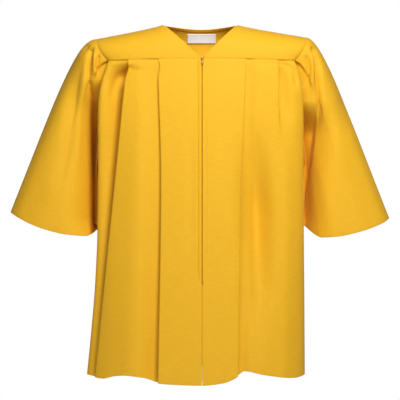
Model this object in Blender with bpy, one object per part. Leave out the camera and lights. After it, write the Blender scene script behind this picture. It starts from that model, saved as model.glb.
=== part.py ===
"""A child's graduation gown, filled out as if worn, with nobody in it.

The gown hangs from its shoulders: a yoke in three pieces, two pleated fronts, a pleated
back and two bell sleeves, each a thin wall of cloth around one open hollow. A zip closes
the centre front, and a woven label is sewn inside the back yoke.

Sizes are in millimetres. +X is the wearer's left, -Y is the front and +Z is up. The origin
is midway between the two neck points of the shoulders, which is where a wearer holds it up.
"""

import math
from collections import namedtuple

import bmesh
import bpy
import numpy as np
from mathutils import Matrix, Vector

MM = 0.001

# Cloth and seams
WALL = 1.2
SEAM_GAP = 0.3
YOKE_GAP = 0.7  # from a yoke down to the cloth below, whose walls tilt towards each other
LAYER = 2.6  # from one layer of a pleat to the next
TURN_STEPS = 3

# Levels
FRONT_SEAM = -71.0
FRONT_SEAM_DIP = 3.0
BACK_SEAM = -110.0
UNDERARM = -225.0
HEM = -686.0

# Shoulders and neck
SHOULDER = 203.0
NECK_V_DROP = 66.0
NECK_BACK = 60.0
NAPE_RISE = 14.0
YOKE_CORNER = 179.0
BACK_YOKE_CORNER = 186.0

# Centre front
ZIP_X = 1.0
ZIP_BOTTOM = -497.0
EDGE_TURN = 9.0  # width of the cloth folded in at the centre edges
HEM_SLIT = 10.0
SLIT_OPENING = 0.5

# One side of the wearer: its neck point's distance, the shoulder line's fall and how full
# the sleeve's cap is
Side = namedtuple("Side", "name sign neck shoulder_height cap")
LEFT = Side("left", 1, 71.5, -24.0, 0.68)
RIGHT = Side("right", -1, 76.0, -27.0, 0.95)
SHOULDER_BEND = 0.84  # under 1, the shoulder line falls fastest beside the neck
NAPE_BEND = 0.6

# The body at one level: depths before and behind, the widest place in front, the two
# edges that meet the sleeves above the underarm and each other below it, and how much
# further the wearer's right side stands out.
BodyRow = namedtuple(
    "BodyRow", "height front back wide wide_fore fore_edge fore_edge_y back_edge back_edge_y flare"
)
BODY = [
    BodyRow(-690, 119, 117, 199.5, -38, 195.5, 0.0, 195.5, 0.0, 22),
    BodyRow(-600, 115, 113, 199, -40, 195.5, 0.0, 195.5, 0.0, 13.6),
    BodyRow(-500, 111, 109, 198.3, -43, 194.5, 0.0, 194.5, 0.0, 6.4),
    BodyRow(-400, 108, 105, 197.4, -45, 193.0, 0.0, 193.0, 0.0, 3.2),
    BodyRow(-300, 106, 101, 196.5, -48, 192.0, 0.0, 192.0, 0.0, 3.2),
    BodyRow(-225, 104.5, 98, 196.5, -52, 191.5, 0.0, 191.5, 0.0, 3.3),
    BodyRow(-215, 104, 97.5, 196.5, -54, 190.5, -9.5, 190.8, 10.0, 3.4),
    BodyRow(-195, 103, 96, 196.5, -57, 187.5, -24.0, 189.0, 25.0, 3.5),
    BodyRow(-165, 102, 94, 196, -60, 182.0, -40.5, 186.0, 42.0, 3.5),
    BodyRow(-135, 100, 91, 194.3, -65, 177.8, -50.0, 184.8, 55.0, 2.8),
    BodyRow(-110, 98, 88, 190.0, -68, 176.5, -55.0, 186.0, 61.0, 1.2),
    BodyRow(-92, 95.5, 86.5, 185.0, -70, 177.5, -57.5, 187.0, 61.5, 0.3),
    BodyRow(-80, 94, 85.5, 181.6, -70, 178.3, -59.0, 188.0, 61.2, 0),
    BodyRow(-71, 93, 85, 179.4, -66, 179.0, -60.5, 188.5, 61.0, 0),
    BodyRow(-60, 91, 84, 179.4, -66, 179.0, -60.5, 190.0, 60.0, 0),
]

# A knife pleat: where its fold edge lies across the body at the yoke seam, at the waist
# and at the hem, how far the cloth doubles back, and the levels where it lets go.
Pleat = namedtuple("Pleat", "top waist hem tuck closed_to open_at")
FRONT_PLEATS = {
    "left": [Pleat(84, 77, 69, 15, -900, -950), Pleat(146, 150, 142, 13, -95, -190)],
    "right": [Pleat(84, 77, 82, 15, -900, -950), Pleat(142, 165, 204, 13, -900, -950)],
}
BACK_PLEATS = [Pleat(58, 60, 66, 15, -900, -950), Pleat(118, 132, 152, 15, -900, -950)]

# The front hem's level across the body, from the wearer's right to the left
HemRow = namedtuple("HemRow", "x level")
FRONT_HEM = [
    HemRow(-220, -677),
    HemRow(-190, -681),
    HemRow(-165, -675),
    HemRow(-145, -673),
    HemRow(-110, -677),
    HemRow(-80, -687),
    HemRow(0, -690),
    HemRow(40, -686),
    HemRow(62, -678),
    HemRow(82, -664),
    HemRow(120, -672),
    HemRow(180, -680),
    HemRow(199, -677),
]
BACK_HEM = -682.0
BACK_HEM_WAVE = 4.0
HEM_WAVE_LENGTH = 30.0  # across the body for each turn of the wave's angle by 1

# The sleeve's opening on the wearer's right, from the outer tip round the front, the
# inner side and the back; the last two columns say where the left one differs.
CuffRow = namedtuple("CuffRow", "out fore height left_out left_height")
CUFF = [
    CuffRow(374, 4, -364, -6, -12),
    CuffRow(361, -22, -372, -4, -11),
    CuffRow(335, -38, -385, -2, -8),
    CuffRow(303, -48, -397, 2, -5),
    CuffRow(260, -51, -407, 3, -4),
    CuffRow(223, -40, -410, 9, -3),
    CuffRow(203, 10, -393, -1, 4),
    CuffRow(215, 43, -387, 0, 2),
    CuffRow(280, 54, -381, 2, -5),
    CuffRow(345, 36, -369, -4, -10),
]

# How each line along the sleeve leaves the armhole and runs into the cuff. The turn goes
# once round the armhole from the shoulder: front, underarm, back. The gap from the
# armhole's edge is wider where the sleeve doubles back beside the body.
SleeveRow = namedtuple("SleeveRow", "turn gap out fore down cuff_out cuff_fore cuff_down")
SLEEVE = [
    SleeveRow(0.00, 1.1, 52, 0, -5, 90, 0, 224),
    SleeveRow(0.10, 1.1, 50, 7, 0, 78, 3, 200),
    SleeveRow(0.14, 2.0, 48, 1, 1, 72, 4, 185),
    SleeveRow(0.17, 2.8, 46, -6, 1, 66, 4, 175),
    SleeveRow(0.20, 3.0, 42, -14, 4, 58, 4, 162),
    SleeveRow(0.30, 3.0, 34, -14, 14, 34, 4, 130),
    SleeveRow(0.40, 3.0, 24, -9, 16, 10, 3, 90),
    SleeveRow(0.48, 2.8, 18, -2, 14, 4, 0, 66),
    SleeveRow(0.56, 2.8, 24, -4, 16, 10, -3, 80),
    SleeveRow(0.66, 2.6, 34, -6, 14, 36, -4, 120),
    SleeveRow(0.75, 2.0, 42, -8, 8, 58, -4, 155),
    SleeveRow(0.81, 1.3, 44, -8, 5, 66, -4, 170),
    SleeveRow(0.91, 1.1, 50, -8, 0, 80, -2, 205),
    SleeveRow(1.00, 1.1, 52, 0, -5, 90, 0, 224),
]

# Gathers and hanging folds of a sleeve: place round it, half its width, depth inward
# (ridges are negative) and the stretch of the sleeve it runs along.
Fold = namedtuple("Fold", "turn width depth begins ends")
SLEEVE_FOLDS = [
    Fold(0.045, 0.022, 3.0, 0.0, 0.34),
    Fold(0.100, 0.022, 4.0, 0.0, 0.42),
    Fold(0.150, 0.020, 4.0, 0.0, 0.46),
    Fold(0.130, 0.050, 7.0, 0.25, 1.15),
    Fold(0.235, 0.045, -5.0, 0.35, 1.25),
    Fold(0.790, 0.020, 3.0, 0.0, 0.30),
    Fold(0.840, 0.022, 4.5, 0.0, 0.46),
    Fold(0.895, 0.022, 4.0, 0.0, 0.42),
    Fold(0.950, 0.022, 3.0, 0.0, 0.34),
    Fold(0.820, 0.055, 6.0, 0.25, 1.15),
]

# Label inside the back yoke
LABEL_WIDTH = 57.0
LABEL_HEIGHT = 18.0
LABEL_WALL = 1.0
LABEL_TOP = -8.0
LABEL_GAP = 0.9  # to the yoke, whose flat facets lie inside its true curve

# Zip
TAPE_WIDTH = 12.0
TAPE_WALL = 1.0
COIL_WIDTH = 4.6
COIL_WALL = 1.4
ZIP_SET_BACK = 4.5  # from the fronts' own middle layer to the tapes
SLIDER_TOP = -67.6
SLIDER_LENGTH = 9.5
SLIDER_WIDTH = 4.6
SLIDER_PLATE = 1.2
BRIDGE_WIDTH = 1.0
BRIDGE_BAR = 0.9
PIN_RADIUS = 0.55
PIN_ROOM = 0.5  # between the pin and the inside of its bridge
OVERLAP = 0.01  # keeps faces of fused solids from lying in one plane
TAB_WIDTH = 2.8
TAB_LENGTH = 12.5
TAB_WALL = 1.0
TAB_SLOT = 1.6
TAB_NECK = 3.4  # from the pin to where the two arms join
PIN_REACH = 1.3  # from the slider plate to the pin
EDGE_PARTING = 3.2  # half the opening between the fronts beside the slider
EDGE_CLOSED = 0.35
PARTING_END = -99.0

# How finely each piece is divided
FRONT_ROWS = 14
BACK_ROWS = 12
SLEEVE_ROWS = 14
YOKE_ROWS = 6
SECTION_STEPS = 24
SHARP_EDGE = math.radians(50)

# Surfaces
Finish = namedtuple("Finish", "colour roughness metallic")
FABRIC = Finish((0.86, 0.44, 0.03), 0.7, 0.0)
TAPE = Finish((0.80, 0.40, 0.03), 0.75, 0.0)
LABEL = Finish((0.85, 0.85, 0.83), 0.8, 0.0)
COIL = Finish((0.75, 0.36, 0.03), 0.45, 0.0)
METAL = Finish((0.78, 0.46, 0.10), 0.35, 1.0)


def clear_scene():
    """Remove every object."""
    for item in list(bpy.data.objects):
        bpy.data.objects.remove(item, do_unlink=True)


def material(name, finish):
    """A piece's own material, in one plain colour."""
    made = bpy.data.materials.new(name)
    made.use_nodes = True
    surface = made.node_tree.nodes["Principled BSDF"]
    surface.inputs["Base Color"].default_value = (*finish.colour, 1)
    surface.inputs["Roughness"].default_value = finish.roughness
    surface.inputs["Metallic"].default_value = finish.metallic
    return made


def smooth_steps(places, values, at):
    """A curve through values at rising places that never swings past them."""
    places = np.asarray(places, float)
    values = np.asarray(values, float)
    at = np.clip(np.asarray(at, float), places[0], places[-1])
    secants = np.diff(values) / np.diff(places)
    slopes = np.concatenate([secants[:1], np.zeros(len(values) - 2), secants[-1:]])
    level = secants[:-1] * secants[1:] <= 0
    total = np.where(level, 1.0, secants[:-1] + secants[1:])
    slopes[1:-1] = np.where(level, 0.0, 2 * secants[:-1] * secants[1:] / total)
    before = np.clip(np.searchsorted(places, at, side="right") - 1, 0, len(places) - 2)
    span = places[before + 1] - places[before]
    t = (at - places[before]) / span
    rise = values[before + 1] - values[before]
    start = slopes[before] * span
    end = slopes[before + 1] * span
    bend = t * t * (3 * rise - 2 * start - end) + t**3 * (start + end - 2 * rise)
    return values[before] + t * start + bend


def read_rows(rows, by, column, at):
    """One column of a table, smooth between its rows."""
    places = [getattr(row, by) for row in rows]
    values = [getattr(row, column) for row in rows]
    return smooth_steps(places, values, at)


def body(column, height):
    """One size of the body at the given heights."""
    return read_rows(BODY, "height", column, height)


def flare(side, height):
    """How far the wearer's right side stands out beyond the left one."""
    return body("flare", height) if side.sign < 0 else np.zeros_like(np.asarray(height, float))


def bezier(a, b, c, d, steps):
    """Points on cubic curves, one curve for each row of the four corner arrays."""
    t = np.linspace(0, 1, steps + 1)[None, :, None]
    a, b, c, d = (np.asarray(p, float)[:, None, :] for p in (a, b, c, d))
    return a * (1 - t) ** 3 + b * 3 * t * (1 - t) ** 2 + c * 3 * t * t * (1 - t) + d * t**3


def front_section(side, height):
    """The front's outline seen from above at each height, from the centre to its edge."""
    height = np.atleast_1d(np.asarray(height, float))
    depth = body("front", height)
    wide = body("wide", height) + flare(side, height)
    wide_y = body("wide_fore", height)
    edge = body("fore_edge", height) + flare(side, height)
    edge_y = body("fore_edge_y", height)
    zero = np.zeros_like(height)
    fall = depth + wide_y

    def corner(x, y):
        return np.stack([x, y], axis=1)

    face = bezier(
        corner(zero, -depth),
        corner(0.58 * wide, -depth),
        corner(wide, wide_y - 0.55 * fall),
        corner(wide, wide_y),
        SECTION_STEPS,
    )
    roll = bezier(
        corner(wide, wide_y),
        corner(wide, wide_y + 0.5 * (edge_y - wide_y)),
        corner(edge + 0.3 * (wide - edge), edge_y + 0.5 * (wide_y - edge_y)),
        corner(edge, edge_y),
        SECTION_STEPS,
    )
    return np.concatenate([face, roll[:, 1:]], axis=1)


def back_section(side, height):
    """The back's outline seen from above at each height, from the centre to its edge."""
    height = np.atleast_1d(np.asarray(height, float))
    depth = body("back", height)
    edge = body("back_edge", height) + flare(side, height)
    edge_y = body("back_edge_y", height)
    zero = np.zeros_like(height)
    return bezier(
        np.stack([zero, depth], axis=1),
        np.stack([0.6 * edge, depth], axis=1),
        np.stack([edge + 0.02 * edge_y, edge_y + 0.55 * (depth - edge_y)], axis=1),
        np.stack([edge, edge_y], axis=1),
        2 * SECTION_STEPS,
    )


def lengths_along(section):
    """The running length of each outline at each of its points."""
    steps = np.linalg.norm(np.diff(section, axis=1), axis=2)
    return np.concatenate([np.zeros((len(section), 1)), np.cumsum(steps, axis=1)], axis=1)


def at_length(section, running, length, inset, outward):
    """Points on the outlines at the given lengths, moved in by the insets."""
    index = (running < length[:, None]).sum(axis=1)
    index = np.clip(index, 1, section.shape[1] - 1)
    row = np.arange(len(section))
    start = section[row, index - 1]
    step = section[row, index] - start
    size = np.linalg.norm(step, axis=1)
    share = (length - running[row, index - 1]) / np.maximum(size, 1e-9)
    along = step / np.maximum(size, 1e-9)[:, None]
    normal = np.stack([along[:, 1], -along[:, 0]], axis=1) * outward
    return start + step * share[:, None] - normal * inset[:, None]


def length_at_x(section, running, x):
    """How far along each outline the given distance from the middle is reached."""
    found = np.empty(len(section))
    for row in range(len(section)):
        widest = int(np.argmax(section[row, :, 0]))
        found[row] = np.interp(x[row], section[row, : widest + 1, 0], running[row, : widest + 1])
    return found


def pleat_path(pleat, height):
    """The doubled cloth of a pleat: shifts along the body and inward, a row per height.

    The cloth turns in, runs back and turns out again. Where the pleat lets go, it turns
    through less than half a circle each time, until it lies flat.
    """
    held = np.clip((height - pleat.open_at) / (pleat.closed_to - pleat.open_at), 0, 1)[:, None]
    radius = LAYER / 2
    bend = math.pi * held
    run = pleat.tuck * held**2
    share = np.linspace(0, 1, TURN_STEPS + 1)[None, :]
    down = share * bend
    back = (1 - share) * bend
    first_x = radius * np.sin(down)
    first_in = radius * (1 - np.cos(down))
    second_x = radius * np.sin(bend) + run * np.cos(bend) + radius * (np.sin(bend) - np.sin(back))
    second_in = radius * (1 - np.cos(bend)) + run * np.sin(bend) + radius * (np.cos(back) - np.cos(bend))
    furthest = radius * np.sin(np.minimum(bend, math.pi / 2))
    across = np.concatenate([first_x, second_x], axis=1) - furthest
    spread = np.linspace(-0.6, 0.6, across.shape[1])[None, :] * pleat.tuck
    return across + spread * (1 - held) ** 2, np.concatenate([first_in, second_in], axis=1)


def pleat_edge(pleat, height):
    """Where a pleat's fold edge lies across the body at each height."""
    places = [HEM, -300.0, FRONT_SEAM]
    return smooth_steps(places, [pleat.hem, pleat.waist, pleat.top], height)


def cloth_rows(side, heights, section_at, pleats, counts, start, outward, turned_edge):
    """One half panel as lengths along the body and insets, for every height and column.

    The cloth runs from the centre to the edge; each pleat adds its doubled layers. Below
    a pleat the cloth lies two layers in, and comes back out over the next stretch.
    """
    section = section_at(side, heights)
    running = lengths_along(section)
    total = running[:, -1] - SEAM_GAP / 2
    columns = []
    insets = []
    if turned_edge:
        turn = np.linspace(math.pi, 0, TURN_STEPS + 1)
        radius = LAYER / 2
        columns.append(start + EDGE_TURN)
        insets.append(np.full_like(start, LAYER))
        for angle in turn:
            columns.append(start + radius * (1 - np.sin(angle)))
            insets.append(np.full_like(start, radius * (1 - math.cos(angle))))
        begin = start + radius
    else:
        begin = start
    sunk = np.zeros_like(start)
    for pleat, count in zip(pleats, counts):
        edge = length_at_x(section, running, pleat_edge(pleat, heights))
        shift, inward = pleat_path(pleat, heights)
        first = edge + shift[:, 0]
        for step in range(1 if turned_edge or columns else 0, count):
            share = step / count
            ease = min(1.0, share * 2.5)
            columns.append(begin + (first - begin) * share)
            insets.append(sunk * (1 - ease * ease * (3 - 2 * ease)))
        for step in range(shift.shape[1]):
            columns.append(edge + shift[:, step])
            insets.append(inward[:, step])
        begin = edge + np.maximum(shift[:, -1], 0) + 6.0
        sunk = inward[:, -1]
        columns.append(begin)
        insets.append(sunk)
    for step in range(1 if columns else 0, counts[-1] + 1):
        share = 1 - (1 - step / counts[-1]) ** 1.3
        ease = min(1.0, share * 2.5)
        columns.append(begin + (total - begin) * share)
        insets.append(sunk * (1 - ease * ease * (3 - 2 * ease)))
    columns = np.stack(columns, axis=1)
    insets = np.stack(insets, axis=1)
    points = np.empty((*columns.shape, 2))
    for column in range(columns.shape[1]):
        points[:, column] = at_length(
            section, running, columns[:, column], insets[:, column], outward
        )
    return points


def centre_start(height):
    """Where the fold of a front lies: parted at the slider and at the hem slit."""
    zipped = height > ZIP_BOTTOM
    gap = np.where(zipped, EDGE_CLOSED, SEAM_GAP / 2)
    top = np.clip((height - PARTING_END) / (FRONT_SEAM - PARTING_END), 0, 1)
    slit = np.clip((HEM + HEM_SLIT - height) / HEM_SLIT, 0, 1)
    parting = (EDGE_PARTING - EDGE_CLOSED) * top**0.7
    return WALL / 2 + gap + parting + SLIT_OPENING * slit


def back_hem_level(x):
    """The back hem's height at a place across the body."""
    return BACK_HEM + BACK_HEM_WAVE * np.cos(x / HEM_WAVE_LENGTH)


def row_shares(count):
    """Shares of a panel's height, closer together near its top."""
    t = np.linspace(0, 1, count)
    return 0.55 * t + 0.45 * t**2


def front_hem_level(x):
    """The front hem's height at a place across the body."""
    return read_rows(FRONT_HEM, "x", "level", x)


def half_panel(side, rows, top, hem_level, section_at, pleats, counts, start_of, outward, turned):
    """Half a panel's middle surface, each column of it drawn down to its own hem level."""
    shares = row_shares(rows)
    levels = top + (HEM - top) * shares
    flat = cloth_rows(
        side, levels, section_at, pleats, counts, start_of(levels), outward, turned
    )
    across = side.sign * flat[:, :, 0]
    down = top + (hem_level(across[-1]) - top)[None, :] * shares[:, None]
    return np.stack([across, flat[:, :, 1], down], axis=2)


def front_points(side):
    """The middle surface of one front, down its rows and out from the centre."""
    pleats = FRONT_PLEATS[side.name]

    def start_of(height):
        return centre_start(height) + side.sign * ZIP_X

    grid = half_panel(
        side, FRONT_ROWS, FRONT_SEAM - YOKE_GAP, front_hem_level, front_section,
        pleats, [6, 4, 11], start_of, 1, True,
    )
    sag = FRONT_SEAM_DIP * (np.abs(grid[0, :, 0]) / YOKE_CORNER) ** 2
    fade = np.linspace(1, 0, FRONT_ROWS)[:, None] ** 2
    grid[:, :, 2] -= sag[None, :] * fade
    return grid


def back_points():
    """The middle surface of the back, from the wearer's right to the left."""
    halves = [
        half_panel(
            side, BACK_ROWS, BACK_SEAM - YOKE_GAP, back_hem_level, back_section,
            BACK_PLEATS, [4, 4, 6], np.zeros_like, -1, False,
        )
        for side in (RIGHT, LEFT)
    ]
    return np.concatenate([halves[0][:, :0:-1], halves[1]], axis=1)


def ridge_height(side, x):
    """The shoulder line's height at a distance from the middle."""
    share = np.clip((x - side.neck) / (SHOULDER - side.neck), 0, 1)
    return side.shoulder_height * share**SHOULDER_BEND


def yoke_profile(drop, bulge):
    """How far out a yoke has come at a share of its drop."""
    return (1 - (1 - drop) ** bulge) ** (1 / bulge)


def front_yoke_point(side, x, angle_share):
    """A point of a front yoke: x is its place on the shoulder or neck line."""
    ridge = ridge_height(side, x)
    seam_x = x - (SHOULDER - YOKE_CORNER) * (x / SHOULDER) ** 2
    section = front_section(side, FRONT_SEAM)
    running = lengths_along(section)
    place = length_at_x(section, running, np.array([seam_x]))
    seam_y = at_length(section, running, place, np.zeros(1), 1)[0, 1]
    seam = FRONT_SEAM - FRONT_SEAM_DIP * (seam_x / YOKE_CORNER) ** 2
    neck = min(ridge, -NECK_V_DROP * (1 - x / side.neck)) if x < side.neck else ridge
    begin = math.acos(1 - (ridge - neck) / (ridge - seam))
    angle = begin + (math.pi / 2 - begin) * angle_share
    drop = 1 - math.cos(angle)
    across = x + (seam_x - x) * drop**2
    return (side.sign * across, seam_y * yoke_profile(drop, 2.2), ridge + (seam - ridge) * drop)


def back_yoke_point(side, x, angle_share):
    """A point of the back yoke on one side of the middle."""
    inner = max(0.0, 1 - (x / side.neck) ** 2)
    ridge = ridge_height(side, x) + NAPE_RISE * inner**NAPE_BEND
    seam_x = x - (SHOULDER - BACK_YOKE_CORNER) * (x / SHOULDER) ** 2
    section = back_section(side, BACK_SEAM)[0]
    seam_y = np.interp(seam_x, section[:, 0], section[:, 1])
    bulge = 2.3 + 0.7 * inner
    neck_y = NECK_BACK * math.sqrt(inner)
    begin = math.acos((1 - (neck_y / seam_y) ** bulge) ** (1 / bulge))
    angle = begin + (math.pi / 2 - begin) * angle_share
    drop = 1 - math.cos(angle)
    across = x + (seam_x - x) * drop**2
    return (side.sign * across, seam_y * yoke_profile(drop, bulge), ridge + (BACK_SEAM - ridge) * drop)


def yoke_places(side):
    """Places along the neck and shoulder line, with the neck point itself."""
    neck = np.linspace(0, side.neck, 8)
    shoulder = np.linspace(side.neck, SHOULDER, 9)[1:]
    return neck, shoulder


def front_yoke_points(side):
    """The middle surface of one front yoke."""
    neck, shoulder = yoke_places(side)
    middle = EDGE_PARTING + side.sign * ZIP_X
    neck = neck + middle * (1 - neck / side.neck)
    places = np.concatenate([neck, shoulder])
    shares = np.linspace(0, 1, YOKE_ROWS + 1)
    grid = np.array([[front_yoke_point(side, x, s) for x in places] for s in shares])
    grid[:, :, 1] -= SEAM_GAP
    return grid


def back_yoke_points():
    """The middle surface of the back yoke, from the wearer's right to the left."""
    shares = np.linspace(0, 1, YOKE_ROWS + 3)
    halves = []
    for side in (RIGHT, LEFT):
        places = np.concatenate(yoke_places(side))
        halves.append(np.array([[back_yoke_point(side, x, s) for x in places] for s in shares]))
    grid = np.concatenate([halves[0][:, :0:-1], halves[1]], axis=1)
    grid[:, :, 1] += SEAM_GAP
    return grid


def even_spacing(loop, shares):
    """Points at the given shares of a closed loop's length."""
    closed = np.concatenate([loop, loop[:1]])
    steps = np.linalg.norm(np.diff(closed, axis=0), axis=1)
    running = np.concatenate([[0], np.cumsum(steps)]) / steps.sum()
    return np.stack([np.interp(shares, running, closed[:, axis]) for axis in range(3)], axis=1)


def armhole(side, shares):
    """The armhole's edge from the shoulder round the front, underarm and back."""
    angles = np.linspace(0, 1, 13)
    front_yoke = [front_yoke_point(side, SHOULDER, share) for share in angles]
    back_yoke = [back_yoke_point(side, SHOULDER, share) for share in angles[::-1]]
    fore = np.linspace(FRONT_SEAM - FRONT_SEAM_DIP, UNDERARM, 26)[1:]
    rear = np.linspace(UNDERARM, BACK_SEAM, 22)[1:-1]
    fore_edge = front_section(side, fore)[:, -1]
    rear_edge = back_section(side, rear)[:, -1]
    front = [(side.sign * x, y, z) for (x, y), z in zip(fore_edge, fore)]
    back = [(side.sign * x, y, z) for (x, y), z in zip(rear_edge, rear)]
    loop = np.array(front_yoke + front + back + back_yoke[:-1])
    return even_spacing(loop, shares)


def cuff(side, shares):
    """The sleeve's lower edge at the given shares of its way round."""
    left = 1 if side.sign > 0 else 0
    rows = [
        (
            side.sign * (row.out + left * row.left_out),
            row.fore,
            row.height + left * row.left_height,
        )
        for row in CUFF
    ]
    rows = np.array(rows + rows[:1], float)
    places = np.linspace(0, 1, len(rows))
    wrapped = np.concatenate([places[:-1] - 1, places, places[1:] + 1])
    looped = np.concatenate([rows[:-1], rows, rows[1:]])
    dense = np.linspace(0, 1, 241)[:-1]
    loop = np.stack([smooth_steps(wrapped, looped[:, axis], dense) for axis in range(3)], axis=1)
    return even_spacing(loop, shares)


def sleeve_turns():
    """Places round the sleeve, closer together over the gathered cap."""
    cap = 0.25
    front = np.linspace(0, cap, 15)[:-1]
    under = np.linspace(cap, 1 - cap, 18)[:-1]
    rear = np.linspace(1 - cap, 1, 15)[:-1]
    return np.concatenate([front, under, rear])


def fold_depth(folds, turn, along):
    """The sleeve's inward shift by its gathers and folds."""
    depth = np.zeros(np.broadcast(turn, along).shape)
    for fold in folds:
        apart = (turn - fold.turn + 0.5) % 1 - 0.5
        across = np.exp(-((apart / fold.width) ** 2) * 1.6)
        middle = (fold.begins + fold.ends) / 2
        half = (fold.ends - fold.begins) / 2
        reach = np.clip(1 - np.abs(along - middle) / half, 0, 1)
        rise = np.sin(reach * math.pi / 2) ** 1.5 if fold.begins > 0 else np.clip(1 - along / fold.ends, 0, 1)
        settle = np.clip(along / 0.06, 0, 1)
        depth = depth + fold.depth * across * rise * settle
    return depth


def sleeve_points(side):
    """The middle surface of one sleeve, ring by ring from the armhole to the cuff."""
    turns = sleeve_turns()
    top = armhole(side, turns)
    low = cuff(side, turns)

    def shift(prefix, fullness):
        out = side.sign * read_rows(SLEEVE, "turn", prefix + "out", turns) * fullness
        fore = -read_rows(SLEEVE, "turn", prefix + "fore", turns)
        down = -read_rows(SLEEVE, "turn", prefix + "down", turns)
        return np.stack([out, fore, down], axis=1)

    over_cap = (1 + np.cos(2 * math.pi * turns)) / 2
    leave = shift("", 1 + (side.cap - 1) * over_cap)
    arrive = shift("cuff_", 1.0)
    gap = read_rows(SLEEVE, "turn", "gap", turns)
    begin = top + leave * (gap / np.linalg.norm(leave, axis=1))[:, None]
    along = np.linspace(0, 1, SLEEVE_ROWS)
    along = 0.8 * along + 0.2 * along**2
    lines = bezier(begin, top + leave, low - arrive, low, SLEEVE_ROWS * 12)
    dense = np.linspace(0, 1, lines.shape[1])
    grid = np.empty((SLEEVE_ROWS, len(turns), 3))
    for axis in range(3):
        for column in range(len(turns)):
            grid[:, column, axis] = np.interp(along, dense, lines[column, :, axis])
    normal = grid_normals(grid, True)
    middle = grid.mean(axis=1, keepdims=True)
    facing = np.sign(((grid - middle) * normal).sum(axis=(1, 2)))[:, None, None]
    depth = fold_depth(SLEEVE_FOLDS, turns[None, :], along[:, None])
    return grid - normal * facing * depth[:, :, None]


def grid_normals(grid, closed):
    """The unit normal at each point of a grid of rows and columns."""
    down = np.gradient(grid, axis=0)
    if closed:
        across = np.roll(grid, -1, axis=1) - np.roll(grid, 1, axis=1)
    else:
        across = np.gradient(grid, axis=1)
    normal = np.cross(across, down)
    return normal / np.maximum(np.linalg.norm(normal, axis=2, keepdims=True), 1e-9)


def add_object(name, mesh, finish):
    """A named object in the scene, with its own material."""
    made = bpy.data.objects.new(name, mesh)
    made.data.materials.append(material(name, finish))
    bpy.context.scene.collection.objects.link(made)
    return made


def add_mesh(name, points, faces, finish):
    """A named object from points in millimetres, with its faces turned outward."""
    mesh = bpy.data.meshes.new(name)
    mesh.from_pydata([tuple(p * MM for p in point) for point in points], [], faces)
    work = bmesh.new()
    work.from_mesh(mesh)
    bmesh.ops.recalc_face_normals(work, faces=work.faces)
    work.to_mesh(mesh)
    work.free()
    mesh.shade_smooth()
    mesh.set_sharp_from_angle(angle=SHARP_EDGE)
    return add_object(name, mesh, finish)


def cloth(name, grid, finish, closed=False, wall=WALL):
    """A wall of cloth either side of a grid's surface, closed along its edges."""
    rows, columns = grid.shape[:2]
    normal = grid_normals(grid, closed)
    front = (grid + normal * wall / 2).reshape(-1, 3)
    rear = (grid - normal * wall / 2).reshape(-1, 3)
    points = np.concatenate([front, rear]).tolist()
    behind = rows * columns

    def number(row, column):
        return row * columns + column % columns

    middle = grid.reshape(-1, 3)
    faces = []
    for row in range(rows - 1):
        for column in range(columns if closed else columns - 1):
            a, b = number(row, column), number(row, column + 1)
            d, c = number(row + 1, column), number(row + 1, column + 1)
            if np.linalg.norm(middle[a] - middle[c]) < np.linalg.norm(middle[b] - middle[d]):
                halves = [(a, b, c), (a, c, d)]
            else:
                halves = [(a, b, d), (b, c, d)]
            faces += halves
            faces += [tuple(behind + corner for corner in reversed(half)) for half in halves]
    for column in range(columns if closed else columns - 1):
        for row, turned in ((0, True), (rows - 1, False)):
            a, b = number(row, column), number(row, column + 1)
            strip = [a, b, behind + b, behind + a]
            faces.append(strip if turned else strip[::-1])
    if not closed:
        for row in range(rows - 1):
            for column, turned in ((0, False), (columns - 1, True)):
                a, b = number(row, column), number(row + 1, column)
                strip = [a, b, behind + b, behind + a]
                faces.append(strip if turned else strip[::-1])
    return add_mesh(name, points, faces, finish)


def add_box(name, low, high, bevel=0.0):
    """A box between two corners, its edges rounded if a bevel is given."""
    work = bmesh.new()
    bmesh.ops.create_cube(work, size=1)
    for vertex in work.verts:
        vertex.co = [
            ((lo + hi) / 2 + c * (hi - lo)) * MM for lo, hi, c in zip(low, high, vertex.co)
        ]
    if bevel:
        bmesh.ops.bevel(
            work, geom=work.edges[:], offset=bevel * MM, segments=1, profile=0.5,
            affect="EDGES", material=-1,
        )
    mesh = bpy.data.meshes.new(name)
    work.to_mesh(mesh)
    work.free()
    return add_object(name, mesh, METAL)


def join_by_union(base, others):
    """Fuse solids into the base, and remove them."""
    for other in others:
        fuse = base.modifiers.new("fuse", "BOOLEAN")
        fuse.operation = "UNION"
        fuse.solver = "EXACT"
        fuse.object = other
        bpy.context.view_layer.update()
        shaped = base.evaluated_get(bpy.context.evaluated_depsgraph_get())
        mesh = bpy.data.meshes.new_from_object(shaped)
        base.modifiers.clear()
        base.data = mesh
        bpy.data.objects.remove(other, do_unlink=True)


def front_depth(height):
    """How far forward the centre front's middle layer lies."""
    return float(body("front", np.array([height]))[0])


def zip_strip(name, inner, outer, wall, finish):
    """A flat strip behind the centre front, between two distances from the middle."""
    heights = np.linspace(FRONT_SEAM - 2.0, ZIP_BOTTOM - 8.0, 10)
    grid = np.empty((len(heights), 2, 3))
    for row, height in enumerate(heights):
        depth = -front_depth(height) + ZIP_SET_BACK
        grid[row, 0] = (ZIP_X + inner, depth, height)
        grid[row, 1] = (ZIP_X + outer, depth, height)
    return cloth(name, grid, finish, wall=wall)


def set_origin(made, place):
    """Put an object's origin at a place in millimetres, and leave its shape where it is."""
    origin = Vector(place) * MM
    made.data.transform(Matrix.Translation(-origin))
    made.location = origin


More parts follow.
